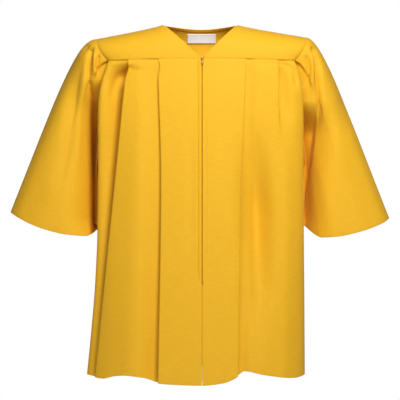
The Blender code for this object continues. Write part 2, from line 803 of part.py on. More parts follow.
def make_tapes_and_coil():
    """Two woven tapes with the closed coil between them, behind the centre front."""
    gap = COIL_WIDTH / 2 + SEAM_GAP
    zip_strip("zip_tape_left", gap, gap + TAPE_WIDTH, TAPE_WALL, TAPE)
    zip_strip("zip_tape_right", -gap, -gap - TAPE_WIDTH, TAPE_WALL, TAPE)
    zip_strip("zip_coil", -COIL_WIDTH / 2, COIL_WIDTH / 2, COIL_WALL, COIL)


def make_slider(low, face, pin_y, pin_z):
    """The slider's plate with the bridge that holds the pull tab's pin."""
    plate_front = face - SLIDER_PLATE
    arch = PIN_RADIUS + PIN_ROOM
    crown_y = pin_y - arch - BRIDGE_BAR
    half = BRIDGE_WIDTH / 2
    slider = add_box(
        "zip_slider",
        (ZIP_X - SLIDER_WIDTH / 2, plate_front, low),
        (ZIP_X + SLIDER_WIDTH / 2, face, SLIDER_TOP),
        0.4,
    )
    bridge = [
        add_box(
            "bridge_post",
            (ZIP_X - half, crown_y, start),
            (ZIP_X + half, plate_front + 0.4, start + BRIDGE_BAR),
        )
        for start in (pin_z + arch, pin_z - arch - BRIDGE_BAR)
    ]
    bridge.append(
        add_box(
            "bridge_crown",
            (ZIP_X - half + OVERLAP, crown_y + OVERLAP, pin_z - arch - BRIDGE_BAR / 2),
            (ZIP_X + half - OVERLAP, crown_y + BRIDGE_BAR, pin_z + arch + BRIDGE_BAR / 2),
        )
    )
    join_by_union(slider, bridge)


def make_pull_tab(pin_y, pin_z):
    """The tab that hangs from its pin in the slider's bridge, and swings on it."""
    pull = add_box(
        "zip_pull",
        (ZIP_X - TAB_WIDTH / 2, pin_y - TAB_WALL / 2, pin_z - TAB_LENGTH),
        (ZIP_X + TAB_WIDTH / 2, pin_y + TAB_WALL / 2, pin_z - TAB_NECK),
        0.2,
    )
    arm = (TAB_WIDTH - TAB_SLOT) / 2
    rod = PIN_RADIUS * 0.7
    rods = [
        add_box(
            "arm",
            (ZIP_X + place, pin_y - PIN_RADIUS * 0.8, pin_z - TAB_NECK - 0.6),
            (ZIP_X + place + arm, pin_y + PIN_RADIUS * 0.8, pin_z + PIN_RADIUS),
        )
        for place in (-TAB_WIDTH / 2 + 2 * OVERLAP, TAB_SLOT / 2 - 2 * OVERLAP)
    ]
    rods.append(
        add_box(
            "pin",
            (ZIP_X - TAB_SLOT / 2 - arm / 2, pin_y - rod, pin_z - rod),
            (ZIP_X + TAB_SLOT / 2 + arm / 2, pin_y + rod, pin_z + rod),
        )
    )
    join_by_union(pull, rods)
    set_origin(pull, (ZIP_X, pin_y, pin_z))


def make_zip():
    """The tapes and coil, the slider at the neck and its hanging pull tab."""
    make_tapes_and_coil()
    low = SLIDER_TOP - SLIDER_LENGTH
    face = -front_depth(low) + ZIP_SET_BACK - COIL_WALL / 2 - SEAM_GAP
    pin_y = face - SLIDER_PLATE - PIN_REACH
    pin_z = SLIDER_TOP - SLIDER_LENGTH / 2
    make_slider(low, face, pin_y, pin_z)
    make_pull_tab(pin_y, pin_z)


def label_points():
    """The label's middle surface, on the inner side of the back yoke."""
    columns = np.linspace(-LABEL_WIDTH / 2, LABEL_WIDTH / 2, 9)
    heights = np.linspace(LABEL_TOP, LABEL_TOP - LABEL_HEIGHT, 4)
    inward = WALL / 2 + LABEL_GAP + LABEL_WALL / 2
    grid = np.empty((len(heights), len(columns), 3))
    for column, x in enumerate(columns):
        side = LEFT if x >= 0 else RIGHT
        curve = np.array([back_yoke_point(side, abs(x), share) for share in np.linspace(0, 1, 41)])
        y = np.interp(-heights, -curve[:, 2], curve[:, 1])
        slope = np.gradient(y, heights)
        size = np.hypot(1, slope)
        grid[:, column, 0] = x + 0.5
        grid[:, column, 1] = y + SEAM_GAP - inward / size
        grid[:, column, 2] = heights + inward * slope / size
    return grid


def main():
    """Make every piece of the gown."""
    clear_scene()
    for side in (LEFT, RIGHT):
        cloth(f"yoke_front_{side.name}", front_yoke_points(side), FABRIC)
        cloth(f"front_{side.name}", front_points(side), FABRIC)
        cloth(f"sleeve_{side.name}", sleeve_points(side), FABRIC, closed=True)
    cloth("yoke_back", back_yoke_points(), FABRIC)
    cloth("back", back_points(), FABRIC)
    cloth("neck_label", label_points(), LABEL, wall=LABEL_WALL)
    make_zip()


main()
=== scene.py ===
"""A child's graduation gown in gold polyester, filled out as if worn, with nobody in it.

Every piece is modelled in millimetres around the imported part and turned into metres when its
mesh is made. +X is the wearer's left, -Y is the front and +Z is up.
"""

import math
from collections import namedtuple

import bmesh
import bpy
import numpy as np
from bpy.props import FloatProperty, FloatVectorProperty, PointerProperty
from mathutils import Matrix, Vector


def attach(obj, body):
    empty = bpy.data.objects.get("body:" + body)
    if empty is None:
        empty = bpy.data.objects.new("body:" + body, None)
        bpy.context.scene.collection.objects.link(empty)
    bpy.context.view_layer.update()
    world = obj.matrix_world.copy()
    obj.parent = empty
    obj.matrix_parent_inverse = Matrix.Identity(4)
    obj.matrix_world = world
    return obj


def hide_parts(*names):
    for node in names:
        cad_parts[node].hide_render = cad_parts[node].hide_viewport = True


bl_info = {
    "name": "Graduation gown",
    "version": (1, 0, 0),
    "blender": (4, 5, 0),
    "location": "3D View > Sidebar > Gown",
    "description": "Makes a pleated graduation gown with bell sleeves and a zip",
    "category": "Object",
}

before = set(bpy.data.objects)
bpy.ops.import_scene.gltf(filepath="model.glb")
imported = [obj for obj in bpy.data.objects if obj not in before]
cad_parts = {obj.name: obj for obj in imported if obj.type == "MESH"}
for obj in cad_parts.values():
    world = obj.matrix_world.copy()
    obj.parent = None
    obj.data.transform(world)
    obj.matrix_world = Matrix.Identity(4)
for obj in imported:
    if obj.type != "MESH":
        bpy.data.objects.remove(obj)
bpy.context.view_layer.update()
MM = 0.001
GOWN_BODY = "gown"
TAB_BODY = "pull_tab"

# Cloth and seams
LAYER = 2.4  # from one layer of a pleat to the next, once clear of the yoke
PRESSED_LAYER = 0.9  # the same at the yoke
PRESSED_REACH = 45.0
TURN_STEPS = 5
FOLD_RADIUS = 0.5  # of a turned hem
HEM_DEPTH = 9.0
ALLOWANCE = 7.0
FACING = 14.0  # of the front neck edge
TUCK_UNDER = 5.0  # how far a panel reaches up behind the yoke
TUCK_DEPTH = 1.0
TUCK_FADE = 5.0  # below the seam, the drop over which a panel comes out from under the yoke
CREASE_CLEAR = 6.0  # the same for its creases to start
FLAT = math.pi  # how far an edge that is folded flat turns
INWARD = math.pi / 2  # how far an allowance that stands inward turns
ALLOWANCE_SHARES = (0.33, 0.66, 1.0)  # of such an allowance, where its rows lie

# Levels
FRONT_SEAM = -71.0
FRONT_SEAM_DIP = 3.0
BACK_SEAM = -110.0
UNDERARM = -225.0
WAIST = -300.0
HEM = -686.0

# Shoulders and neck
SHOULDER = 203.0
NECK_V_DROP = 73.0
NECK_BACK = 60.0
NAPE_RISE = 14.0
NAPE_BEND = 0.6
SHOULDER_BEND = 0.84
YOKE_CORNER = 179.0
BACK_YOKE_CORNER = 186.0
FRONT_YOKE_BULGE = 2.6
BACK_YOKE_BULGE = 2.3
NAPE_BULGE = 0.7  # what the back yoke's bulge gains at the nape
LEAST_YOKE = 1.5

# Centre front
ZIP_X = 1.0
ZIP_TOP = -73.0
ZIP_BOTTOM = -497.0
EDGE_TURN = 9.0
EDGE_TURN_SHARES = (1, 0.6, 0.3)
EDGE_CLOSED = 0.65
EDGE_BELOW = 0.25  # the same under the zip
EDGE_PARTING = 2.6
PARTING_END = -99.0
PARTING_CURVE = 0.7
HEM_SLIT = 10.0
SLIT_OPENING = 0.5

Side = namedtuple("Side", "name sign neck shoulder_height cap")
LEFT = Side("left", 1, 71.5, -24.0, 0.68)
RIGHT = Side("right", -1, 76.0, -27.0, 0.95)

# How far the curves of the outlines from above reach, as shares of the sizes they join
FACE_PULL = 0.58
FACE_SIDE_PULL = 0.55
ROLL_PULL = 0.5
ROLL_EDGE_PULL = 0.3
BACK_PULL = 0.6
BACK_SIDE_PULL = 0.55
BACK_LEAN = 0.02

BodyRow = namedtuple(
    "BodyRow", "height front back wide wide_fore fore_edge fore_edge_y back_edge back_edge_y flare"
)
BODY = [
    BodyRow(-690, 119, 117, 199.5, -38, 195.5, 0.0, 195.5, 0.0, 22),
    BodyRow(-600, 115, 113, 199, -40, 195.5, 0.0, 195.5, 0.0, 13.6),
    BodyRow(-500, 111, 109, 198.3, -43, 194.5, 0.0, 194.5, 0.0, 6.4),
    BodyRow(-400, 108, 105, 197.4, -45, 193.0, 0.0, 193.0, 0.0, 3.2),
    BodyRow(-300, 106, 101, 196.5, -48, 192.0, 0.0, 192.0, 0.0, 3.2),
    BodyRow(-225, 104.5, 98, 196.5, -52, 191.5, 0.0, 191.5, 0.0, 3.3),
    BodyRow(-215, 104, 97.5, 196.5, -54, 190.5, -9.5, 190.8, 10.0, 3.4),
    BodyRow(-195, 103, 96, 196.5, -57, 187.5, -24.0, 189.0, 25.0, 3.5),
    BodyRow(-165, 102, 94, 196, -60, 182.0, -40.5, 186.0, 42.0, 3.5),
    BodyRow(-135, 100, 91, 194.3, -65, 177.8, -50.0, 184.8, 55.0, 2.8),
    BodyRow(-110, 98, 88, 190.0, -68, 176.5, -55.0, 186.0, 61.0, 1.2),
    BodyRow(-92, 95.5, 86.5, 185.0, -70, 177.5, -57.5, 187.0, 61.5, 0.3),
    BodyRow(-80, 94, 85.5, 181.6, -70, 178.3, -59.0, 188.0, 61.2, 0),
    BodyRow(-71, 93, 85, 179.4, -66, 179.0, -60.5, 188.5, 61.0, 0),
    BodyRow(-60, 91, 84, 179.4, -66, 179.0, -60.5, 190.0, 60.0, 0),
]

# A knife pleat: where its fold edge lies across the body at the yoke seam, at the waist and
# at the hem, how far it swings in just below the yoke, how far the cloth doubles back, the
# levels where it lets go, and how far the cloth beside it falls back at the top and at the hem.
Pleat = namedtuple(
    "Pleat", "top waist hem hook tuck closed_to open_at fall_top fall_hem fall_reach"
)
FRONT_PLEATS = {
    "left": [
        Pleat(84, 77, 69, 0, 15, -900, -950, 0.3, 3.0, 20),
        Pleat(146, 150, 142, 0, 11, -78, -250, 3.0, 0.0, 24),
    ],
    "right": [
        Pleat(84, 77, 82, 4.0, 15, -900, -950, 1.0, 15.0, 38),
        Pleat(142, 165, 204, 3.5, 13, -900, -950, 29.0, 6.0, 44),
    ],
}
BACK_PLEATS = [
    Pleat(58, 60, 66, 2.0, 15, -900, -950, 0.5, 6.0, 30),
    Pleat(118, 132, 152, 2.0, 15, -900, -950, 0.8, 5.0, 26),
]
FALL_CLEAR = 34.0  # how far below the yoke the cloth beside a pleat has fallen back
FALL_GROWTH = 1.5
LEAST_FALL_REACH = 4.0
SIDE_FALL_REACH = 0.95  # of the way to the side
OPENED_SPREAD = 0.6  # of a pleat's tuck, each way, once it has let go
PLEAT_REST = 6.0  # from a pleat's doubled cloth to where the panel goes on
HOOK_LEVEL = -86.0
HOOK_REACH = 16.0

HemRow = namedtuple("HemRow", "x level")
FRONT_HEM = [
    HemRow(-220, -677),
    HemRow(-190, -681),
    HemRow(-165, -675),
    HemRow(-145, -673),
    HemRow(-110, -677),
    HemRow(-80, -687),
    HemRow(0, -690),
    HemRow(40, -686),
    HemRow(62, -678),
    HemRow(82, -664),
    HemRow(120, -672),
    HemRow(180, -680),
    HemRow(199, -677),
]
BACK_HEM = -682.0
BACK_HEM_WAVE = 4.0
HEM_WAVE_LENGTH = 30.0

CuffRow = namedtuple("CuffRow", "out fore height left_out left_height")
CUFF = [
    CuffRow(374, 4, -364, -6, -12),
    CuffRow(361, -22, -372, -4, -11),
    CuffRow(335, -38, -385, -2, -8),
    CuffRow(303, -48, -397, 2, -5),
    CuffRow(260, -51, -407, 3, -4),
    CuffRow(223, -40, -410, 9, -3),
    CuffRow(203, 10, -393, -1, 4),
    CuffRow(215, 43, -387, 0, 2),
    CuffRow(280, 54, -381, 2, -5),
    CuffRow(345, 36, -369, -4, -10),
]

SleeveRow = namedtuple("SleeveRow", "turn gap out fore down cuff_out cuff_fore cuff_down")
SLEEVE = [
    SleeveRow(0.00, 1.1, 52, 0, -5, 90, 0, 224),
    SleeveRow(0.10, 1.1, 50, 0, 1, 78, 3, 200),
    SleeveRow(0.14, 1.6, 48, -2, 3, 72, 4, 188),
    SleeveRow(0.17, 2.2, 45, -4, 5, 66, 4, 178),
    SleeveRow(0.20, 2.8, 42, -6, 8, 59, 4, 166),
    SleeveRow(0.30, 3.0, 33, -10, 14, 34, 4, 130),
    SleeveRow(0.40, 3.0, 20, -9, 16, 10, 3, 90),
    SleeveRow(0.48, 2.8, 9, -2, 14, 2, 0, 66),
    SleeveRow(0.56, 2.8, 20, -4, 16, 10, -3, 80),
    SleeveRow(0.66, 2.6, 34, -6, 14, 36, -4, 120),
    SleeveRow(0.75, 2.0, 42, -8, 8, 58, -4, 155),
    SleeveRow(0.81, 1.3, 44, -8, 5, 66, -4, 170),
    SleeveRow(0.91, 1.1, 50, -8, 0, 80, -2, 205),
    SleeveRow(1.00, 1.1, 52, 0, -5, 90, 0, 224),
]

# The ridge on a sleeve's back, by its place round the sleeve and the stretch it runs along
Ridge = namedtuple("Ridge", "turn width height begins ends")
SLEEVE_RIDGE = Ridge(0.790, 0.030, 3.0, 0.35, 1.25)
RIDGE_SHARPNESS = 1.6
RIDGE_START = 0.06

# Where a sleeve's columns stand closer, round it from the shoulder by way of the front
Crowd = namedtuple("Crowd", "turn extra reach")
SLEEVE_CROWDS = [Crowd(0.17, 1.6, 0.12), Crowd(0.84, 0.8, 0.1)]
ROW_EVENNESS = 0.6  # of a sleeve's rows, which stand closer near the armhole

# A crease seen from the front or the back: its line down the cloth as (x, z) points, how
# deep it is (a ridge is negative), how wide each way from its line, towards -X and +X, and
# the shares of its length over which it comes and goes.
Crease = namedtuple("Crease", "line depth before after comes goes")
FRONT_CREASES = {
    "left": [
        Crease(
            ((101, -170), (105, -246), (110, -322), (113, -398), (113, -493), (104, -588), (106, -690)),
            38.0, 32, 22, 0.4, 0.7,
        ),
        Crease(((158, -200), (160, -400), (156, -690)), -2.5, 12, 16, 0.2, 0.0),
        Crease(
            ((148, -77), (164, -80), (172, -86), (178.7, -96), (181.4, -109), (183, -132)),
            3.5, 9, 3.5, 0.05, 0.4,
        ),
        Crease(((8.7, -73), (8.7, -480), (7.0, -502)), 0.7, 1.2, 1.2, 0.02, 0.04),
    ],
    "right": [
        Crease(
            ((-140, -82), (-141, -88), (-156, -98), (-166, -109), (-172, -128), (-174, -160)),
            6.0, 5, 13, 0.05, 0.5,
        ),
        Crease(((-120, -150), (-128, -400), (-140, -690)), -2.0, 20, 14, 0.3, 0.0),
        Crease(((-20, -170), (-20, -300), (-20, -470)), 1.6, 10, 7, 0.3, 0.3),
        Crease(((-6.7, -73), (-6.7, -480), (-5.0, -502)), 2.6, 1.4, 1.3, 0.02, 0.04),
    ],
}
BACK_CREASES = [
    Crease(((-88, -200), (-92, -400), (-100, -690)), 4.5, 16, 14, 0.3, 0.0),
    Crease(((90, -220), (96, -420), (104, -690)), 4.0, 14, 16, 0.3, 0.0),
    Crease(((-160, -190), (-166, -400), (-176, -690)), 4.0, 14, 12, 0.3, 0.0),
    Crease(((164, -180), (168, -400), (172, -690)), 4.0, 12, 14, 0.3, 0.0),
    Crease(((20, -260), (26, -450), (22, -690)), 3.0, 16, 18, 0.4, 0.0),
]
SLEEVE_CREASES = {
    "right": [
        Crease(
            ((-209, -45), (-212, -53), (-213, -71), (-215, -94), (-213, -127), (-202, -150)),
            9.0, 7, 3.5, 0.1, 0.25,
        ),
        Crease(((-196, -60), (-199, -75), (-201, -102)), 4.0, 2.5, 2.5, 0.2, 0.4),
        Crease(((-204, -50), (-205, -78), (-205, -112)), -4.0, 4, 4, 0.3, 0.3),
        Crease(((-217, -40), (-225, -53), (-233, -65)), 3.0, 5, 4, 0.2, 0.6),
        Crease(
            ((-227, -48), (-242, -109), (-250, -167), (-261, -245), (-277, -322), (-281, -345)),
            7.5, 20, 11, 0.25, 0.3,
        ),
        Crease(((-225, -90), (-234, -167), (-238, -245), (-244, -330)), -3.0, 8, 8, 0.3, 0.4),
    ],
    "left": [
        Crease(
            ((199, -61), (203, -72), (206, -86), (205, -102), (200, -116), (195, -127)),
            4.0, 3.4, 3.6, 0.15, 0.4,
        ),
        Crease(
            ((213, -41), (215, -57), (220, -72), (221.6, -86), (222, -127), (225, -167), (219, -225)),
            9.0, 3.2, 7, 0.08, 0.3,
        ),
        Crease(((209, -48), (212, -70), (213, -100), (211, -140)), -3.0, 4, 4, 0.2, 0.4),
        Crease(((268, -110), (278, -180), (284, -240)), 2.5, 14, 14, 0.4, 0.5),
    ],
}
SLEEVE_BACK_CREASES = {
    "right": [
        Crease(((-206, -42), (-212, -62), (-214, -95), (-212, -150)), 7.0, 6, 3.5, 0.15, 0.4),
        Crease(((-196, -62), (-201, -85), (-203, -120)), 3.5, 2.6, 2.6, 0.2, 0.4),
        Crease(((-220, -44), (-240, -110), (-256, -200), (-276, -330)), 6.0, 12, 11, 0.2, 0.3),
    ],
    "left": [
        Crease(((207, -40), (213, -60), (217, -90), (216, -160)), 7.0, 3.5, 6, 0.15, 0.4),
        Crease(((197, -60), (202, -80), (204, -118)), 3.5, 2.6, 2.6, 0.2, 0.4),
        Crease(((222, -46), (238, -110), (252, -200), (268, -320)), 6.0, 11, 12, 0.2, 0.3),
    ],
}

# Where a sleeve falls back beside the body: the line of its edge as (height, distance out)
# points, how deep it steps back there, and how far it has rounded off before that.
Recess = namedtuple("Recess", "edge step soft round_off round_reach begins full ends")
RECESSES = {
    "right": Recess(
        ((-400, 214), (-300, 215), (-129, 215)), 31, 5, 32, 62, -108, -175, -430
    ),
    "left": Recess(
        ((-400, 196), (-360, 201), (-293, 211), (-225, 219), (-190, 222)), 22, 5, 28, 54,
        -150, -215, -430,
    ),
}

BACK_RECESS = 0.3  # of the same, on the sleeve's back
RECESS_FADE = 60.0
RECESS_FACING = 0.35  # how far the cloth must face forward, or back, to fall back in full
RECESS_START = 1 / 9  # of a sleeve's length, from the armhole
CREASE_FACING = 0.3  # how far the cloth must face a crease's side for its full depth
CREASE_EDGE = 0.05  # how far past sideways a crease still shows
CREASE_START = 1 / 40  # of a sleeve's length, from the armhole
CORNER_REACH = 14  # columns over which a sleeve rounds off the armhole's corners

# Waves of hanging cloth: how fast they turn across and down, in radians for each millimetre
WAVE_COUNT = 4
WAVE_ACROSS = 0.018
WAVE_ACROSS_STEP = 0.013
WAVE_DOWN = 0.004
WAVE_DOWN_STEP = 0.0035
WAVE_SWAY = 0.6
FRONT_SEED = 5
BACK_SEED = 8
SLEEVE_SEED = 11
FRONT_WAVES = 0.7
BACK_WAVES = 0.9
SLEEVE_WAVES = 0.6
SLEEVE_SWING = 60  # the waves' travel across, each way, from one time round a sleeve
SLEEVE_DRIFT_LENGTH = 500  # their travel down, from the armhole to the cuff
SLEEVE_STILL = 0.25  # of a sleeve's length, from the armhole, without full waves
STILL_EDGE = 12  # how far from the centre front the waves begin
STILL_FADE = 20

# Puckers of the seam under the zip
PUCKER_DEPTH = 0.35
PUCKER_REACH = 7.0
PUCKER_LENGTH = 1.9
PUCKER_DRIFT = 2.0
PUCKER_DRIFT_LENGTH = 23.0
PUCKER_START = 5
PUCKER_FADE = 20

# How finely the curves and sheets are divided
SECTION_STEPS = 40
ROUND_STEPS = 721
YOKE_EDGE_STEPS = 41
FORE_EDGE_STEPS = 80
REAR_EDGE_STEPS = 70
HEM_TURN_STEPS = 6
ROW_CROWDING = 1.08  # of a panel's rows towards the yoke
EDGE_CROWDING = 1.5  # of a front's columns towards the centre
SIDE_CROWDING = 1.2  # of a panel's columns towards the side
FRONT_ROWS = 170
FRONT_COLUMNS = [48, 30, 70]
BACK_ROWS = 136
BACK_COLUMNS = [40, 30, 50]
SLEEVE_ROWS = 160
SLEEVE_COLUMNS = 236
YOKE_ROWS = 56
NECK_COLUMNS = 26  # of the yokes' columns, along the neck
FRONT_SHOULDER_COLUMNS = 44
BACK_SHOULDER_COLUMNS = 40
TAPE_ROWS = 120
EDGE_COLUMNS = 9  # that a front's folded centre edge takes up
PLACKET_COLUMNS = slice(9, 50)
PLACKET = {"left": 8.7, "right": 6.7}  # the sewn lines beside the zip

# Label
LABEL_WIDTH = 57.0
LABEL_HEIGHT = 18.0
LABEL_TOP = -8.0
LABEL_SET_IN = 1.6
LABEL_SHIFT = 0.5
LABEL_COLUMNS = 58
LABEL_ROWS = 19
LABEL_PUFF = 0.35
LABEL_CURVE_STEPS = 81
LABEL_STITCH = 1.8

# Zip
ZIP_SET_BACK = 4.5
ZIP_ROOM = 0.1  # between the coil and what lies beside it
TAPE_WIDTH = 12.0
TAPE_COLUMNS = 13
TAPE_THICKNESS = 0.00045
TAPE_BELOW = 8.0  # how far the tapes run on under the opening
COIL_WIDTH = 4.6
COIL_WALL = 1.4
COIL_PITCH = 1.3
COIL_LOOP = 0.46  # of the pitch, half a loop's height
COIL_SHIFT = 0.55  # of a loop towards its own tape
COIL_MARGIN = 0.5
COIL_END = 1.0  # how much shorter than the tapes the coil is at each end
SLIDER_TOP = -67.6
SLIDER_LENGTH = 9.5
SLIDER_WIDTH = 4.6
SLIDER_PLATE = 1.2
SLIDER_BACK = 0.9
SLIDER_TAPER = 0.8
SLIDER_EDGE = 0.45
SLIDER_BACK_EDGE = 0.35
SLIDER_ROOM = 0.3  # behind the coil, and how far the post goes into each plate
POST_HALF = 0.9
POST_TOP = 0.2  # how far the post's ends lie below the slider's top
POST_FOOT = 2.0
POST_EDGE = 0.2
BRIDGE_WIDTH = 1.0
BRIDGE_BAR = 0.9
BRIDGE_STEPS = 12
PIN_RADIUS = 0.55
PIN_ROOM = 0.5
PIN_REACH = 1.3
TAB_WIDTH = 2.8
TAB_LENGTH = 12.5
TAB_WALL = 1.0
TAB_SLOT = 1.6
TAB_NECK = 3.4
TAB_EDGE = 0.3
TAB_PANEL_IN = 0.6  # from the tab's sides to its raised panel
TAB_PANEL_FOOT = 0.8
TAB_PANEL_TOP = 1.6
TAB_PANEL_LIFT = 0.12
TAB_PANEL_EDGE = 0.1
ARM_SET = 0.6  # how far the arms reach down into the tab
ARM_WALL = 0.8  # of the pin's radius, half an arm's wall
ARM_EDGE = 0.2
PIN_SHARE = 0.7  # of the pin's radius, its rod between the arms
PIN_SET = 0.5  # how far the pin reaches into the arms, both together

# Bar tack
TACK_ABOVE = 1.5
TACK_BELOW = 2.5
TACK_PITCH = 0.55
TACK_LEFT = 3.2
TACK_RIGHT = 2.6
TACK_LIFT = 0.2

# Stage, in metres, watts and degrees
FLOOR_LEVEL = -1.15
FLOOR_RADIUS = 2.4
FLOOR_SEGMENTS = 96
FLOOR_GREY = 0.8
WORLD_LIGHT = 0.1  # on the gown, where the camera sees full white
Lamp = namedtuple("Lamp", "name place target size power")
AREA_LAMPS = [
    Lamp("key", (0.42, -1.5, 0.8), (0, 0, -0.1), 0.7, 33),
    Lamp("front", (-0.8, -2.0, 0.4), (0, 0, -0.1), 0.9, 9),
    Lamp("back", (0.0, 2.3, 0.4), (0, 0, -0.35), 1.0, 42),
]
NECK_LAMP = Lamp("neck", (0, -0.7, 0.75), (0, 0.05, -0.03), 0.06, 30)
NECK_CONE = 9
NECK_BLEND = 0.9
CAMERA_PLACE = (-0.0029, -2.97, -0.341)
CAMERA_SENSOR = 36  # this and the lens in millimetres
CAMERA_LENS = 136.4

# Sewing
STITCH_PITCH = 3.2
STITCH_SHARE = 0.4  # of the pitch, half a stitch's length
THREAD = 0.2
THREAD_FLATNESS = 0.8
STITCH_SIGHT = 0.5  # how far each way a stitch looks for its line's direction
BATCH = 24  # shapes that are made together before they are added to the rest
STITCH_LIFT = 0.22
HEM_SEWN = 8.0  # from the edge to the hem's stitches
EDGE_SEWN = 1.6  # from a yoke's edge to its topstitching
NECK_SEWN = 6.0


def smooth_steps(places, values, at):
    """A curve through values at rising places that never swings past them."""
    places = np.asarray(places, float)
    values = np.asarray(values, float)
    at = np.clip(np.asarray(at, float), places[0], places[-1])
    secants = np.diff(values) / np.diff(places)
    slopes = np.concatenate([secants[:1], np.zeros(len(values) - 2), secants[-1:]])
    level = secants[:-1] * secants[1:] <= 0
    total = np.where(level, 1.0, secants[:-1] + secants[1:])
    slopes[1:-1] = np.where(level, 0.0, 2 * secants[:-1] * secants[1:] / total)
    before = np.clip(np.searchsorted(places, at, side="right") - 1, 0, len(places) - 2)
    span = places[before + 1] - places[before]
    t = (at - places[before]) / span
    rise = values[before + 1] - values[before]
    start = slopes[before] * span
    end = slopes[before + 1] * span
    bend = t * t * (3 * rise - 2 * start - end) + t**3 * (start + end - 2 * rise)
    return values[before] + t * start + bend


def read_rows(rows, by, column, at):
    """One column of a table, smooth between its rows."""
    places = [getattr(row, by) for row in rows]
    values = [getattr(row, column) for row in rows]
    return smooth_steps(places, values, at)


def ease(share):
    """0 to 1, with a soft start and end."""
    share = np.clip(share, 0, 1)
    return share * share * (3 - 2 * share)


def body(column, height):
    """One size of the body at the given heights."""
    return read_rows(BODY, "height", column, height)


def flare(side, height):
    """How far the wearer's right side stands out beyond the left one."""
    return body("flare", height) if side.sign < 0 else np.zeros_like(np.asarray(height, float))


def bezier(a, b, c, d, steps):
    """Points on cubic curves, one curve for each row of the four corner arrays."""
    t = np.linspace(0, 1, steps + 1)[None, :, None]
    a, b, c, d = (np.asarray(p, float)[:, None, :] for p in (a, b, c, d))
    return a * (1 - t) ** 3 + b * 3 * t * (1 - t) ** 2 + c * 3 * t * t * (1 - t) + d * t**3


def front_section(side, height):
    """The front's outline seen from above at each height, from the centre to its edge."""
    height = np.atleast_1d(np.asarray(height, float))
    depth = body("front", height)
    wide = body("wide", height) + flare(side, height)
    wide_y = body("wide_fore", height)
    edge = body("fore_edge", height) + flare(side, height)
    edge_y = body("fore_edge_y", height)
    zero = np.zeros_like(height)
    fall = depth + wide_y

    def corner(x, y):
        return np.stack([x, y], axis=1)

    face = bezier(
        corner(zero, -depth),
        corner(FACE_PULL * wide, -depth),
        corner(wide, wide_y - FACE_SIDE_PULL * fall),
        corner(wide, wide_y),
        SECTION_STEPS,
    )
    roll = bezier(
        corner(wide, wide_y),
        corner(wide, wide_y + ROLL_PULL * (edge_y - wide_y)),
        corner(edge + ROLL_EDGE_PULL * (wide - edge), edge_y + ROLL_PULL * (wide_y - edge_y)),
        corner(edge, edge_y),
        SECTION_STEPS,
    )
    return np.concatenate([face, roll[:, 1:]], axis=1)


def back_section(side, height):
    """The back's outline seen from above at each height, from the centre to its edge."""
    height = np.atleast_1d(np.asarray(height, float))
    depth = body("back", height)
    edge = body("back_edge", height) + flare(side, height)
    edge_y = body("back_edge_y", height)
    zero = np.zeros_like(height)
    return bezier(
        np.stack([zero, depth], axis=1),
        np.stack([BACK_PULL * edge, depth], axis=1),
        np.stack([edge + BACK_LEAN * edge_y, edge_y + BACK_SIDE_PULL * (depth - edge_y)], axis=1),
        np.stack([edge, edge_y], axis=1),
        2 * SECTION_STEPS,
    )


def lengths_along(section):
    """The running length of each outline at each of its points."""
    steps = np.linalg.norm(np.diff(section, axis=1), axis=2)
    return np.concatenate([np.zeros((len(section), 1)), np.cumsum(steps, axis=1)], axis=1)


def lengths_down(grid):
    """The running length of each column of a grid, from its first row."""
    steps = np.linalg.norm(np.diff(grid, axis=0), axis=2)
    return np.concatenate([np.zeros((1, grid.shape[1])), np.cumsum(steps, axis=0)])


def points_at(length, running, points):
    """The points at given running lengths along a line."""
    return np.stack([np.interp(length, running, points[:, axis]) for axis in range(3)], axis=-1)


def at_length(section, running, length, inset, outward):
    """Points on the outlines at the given lengths, moved in by the insets."""
    index = (running < length[:, None]).sum(axis=1)
    index = np.clip(index, 1, section.shape[1] - 1)
    row = np.arange(len(section))
    start = section[row, index - 1]
    step = section[row, index] - start
    size = np.linalg.norm(step, axis=1)
    share = (length - running[row, index - 1]) / np.maximum(size, 1e-9)
    before = section[row, np.maximum(index - 2, 0)]
    after = section[row, np.minimum(index + 1, section.shape[1] - 1)]
    here = step / np.maximum(size, 1e-9)[:, None]
    start_way = section[row, index] - before
    end_way = after - start
    start_way /= np.linalg.norm(start_way, axis=1)[:, None]
    end_way /= np.linalg.norm(end_way, axis=1)[:, None]
    mix = np.clip(share, 0, 1)[:, None]
    way = start_way * (1 - mix) + end_way * mix
    way /= np.linalg.norm(way, axis=1)[:, None]
    normal = np.stack([way[:, 1], -way[:, 0]], axis=1) * outward
    return start + here * (share * size)[:, None] - normal * inset[:, None]


def length_at_x(section, running, x):
    """How far along each outline the given distance from the middle is reached."""
    found = np.empty(len(section))
    for row in range(len(section)):
        widest = int(np.argmax(section[row, :, 0]))
        found[row] = np.interp(x[row], section[row, : widest + 1, 0], running[row, : widest + 1])
    return found


def layer(height):
    """The room from one layer of a pleat to the next, which the yoke presses flat."""
    clear = np.maximum(FRONT_SEAM - height, 0) / PRESSED_REACH
    return PRESSED_LAYER + (LAYER - PRESSED_LAYER) * ease(clear)


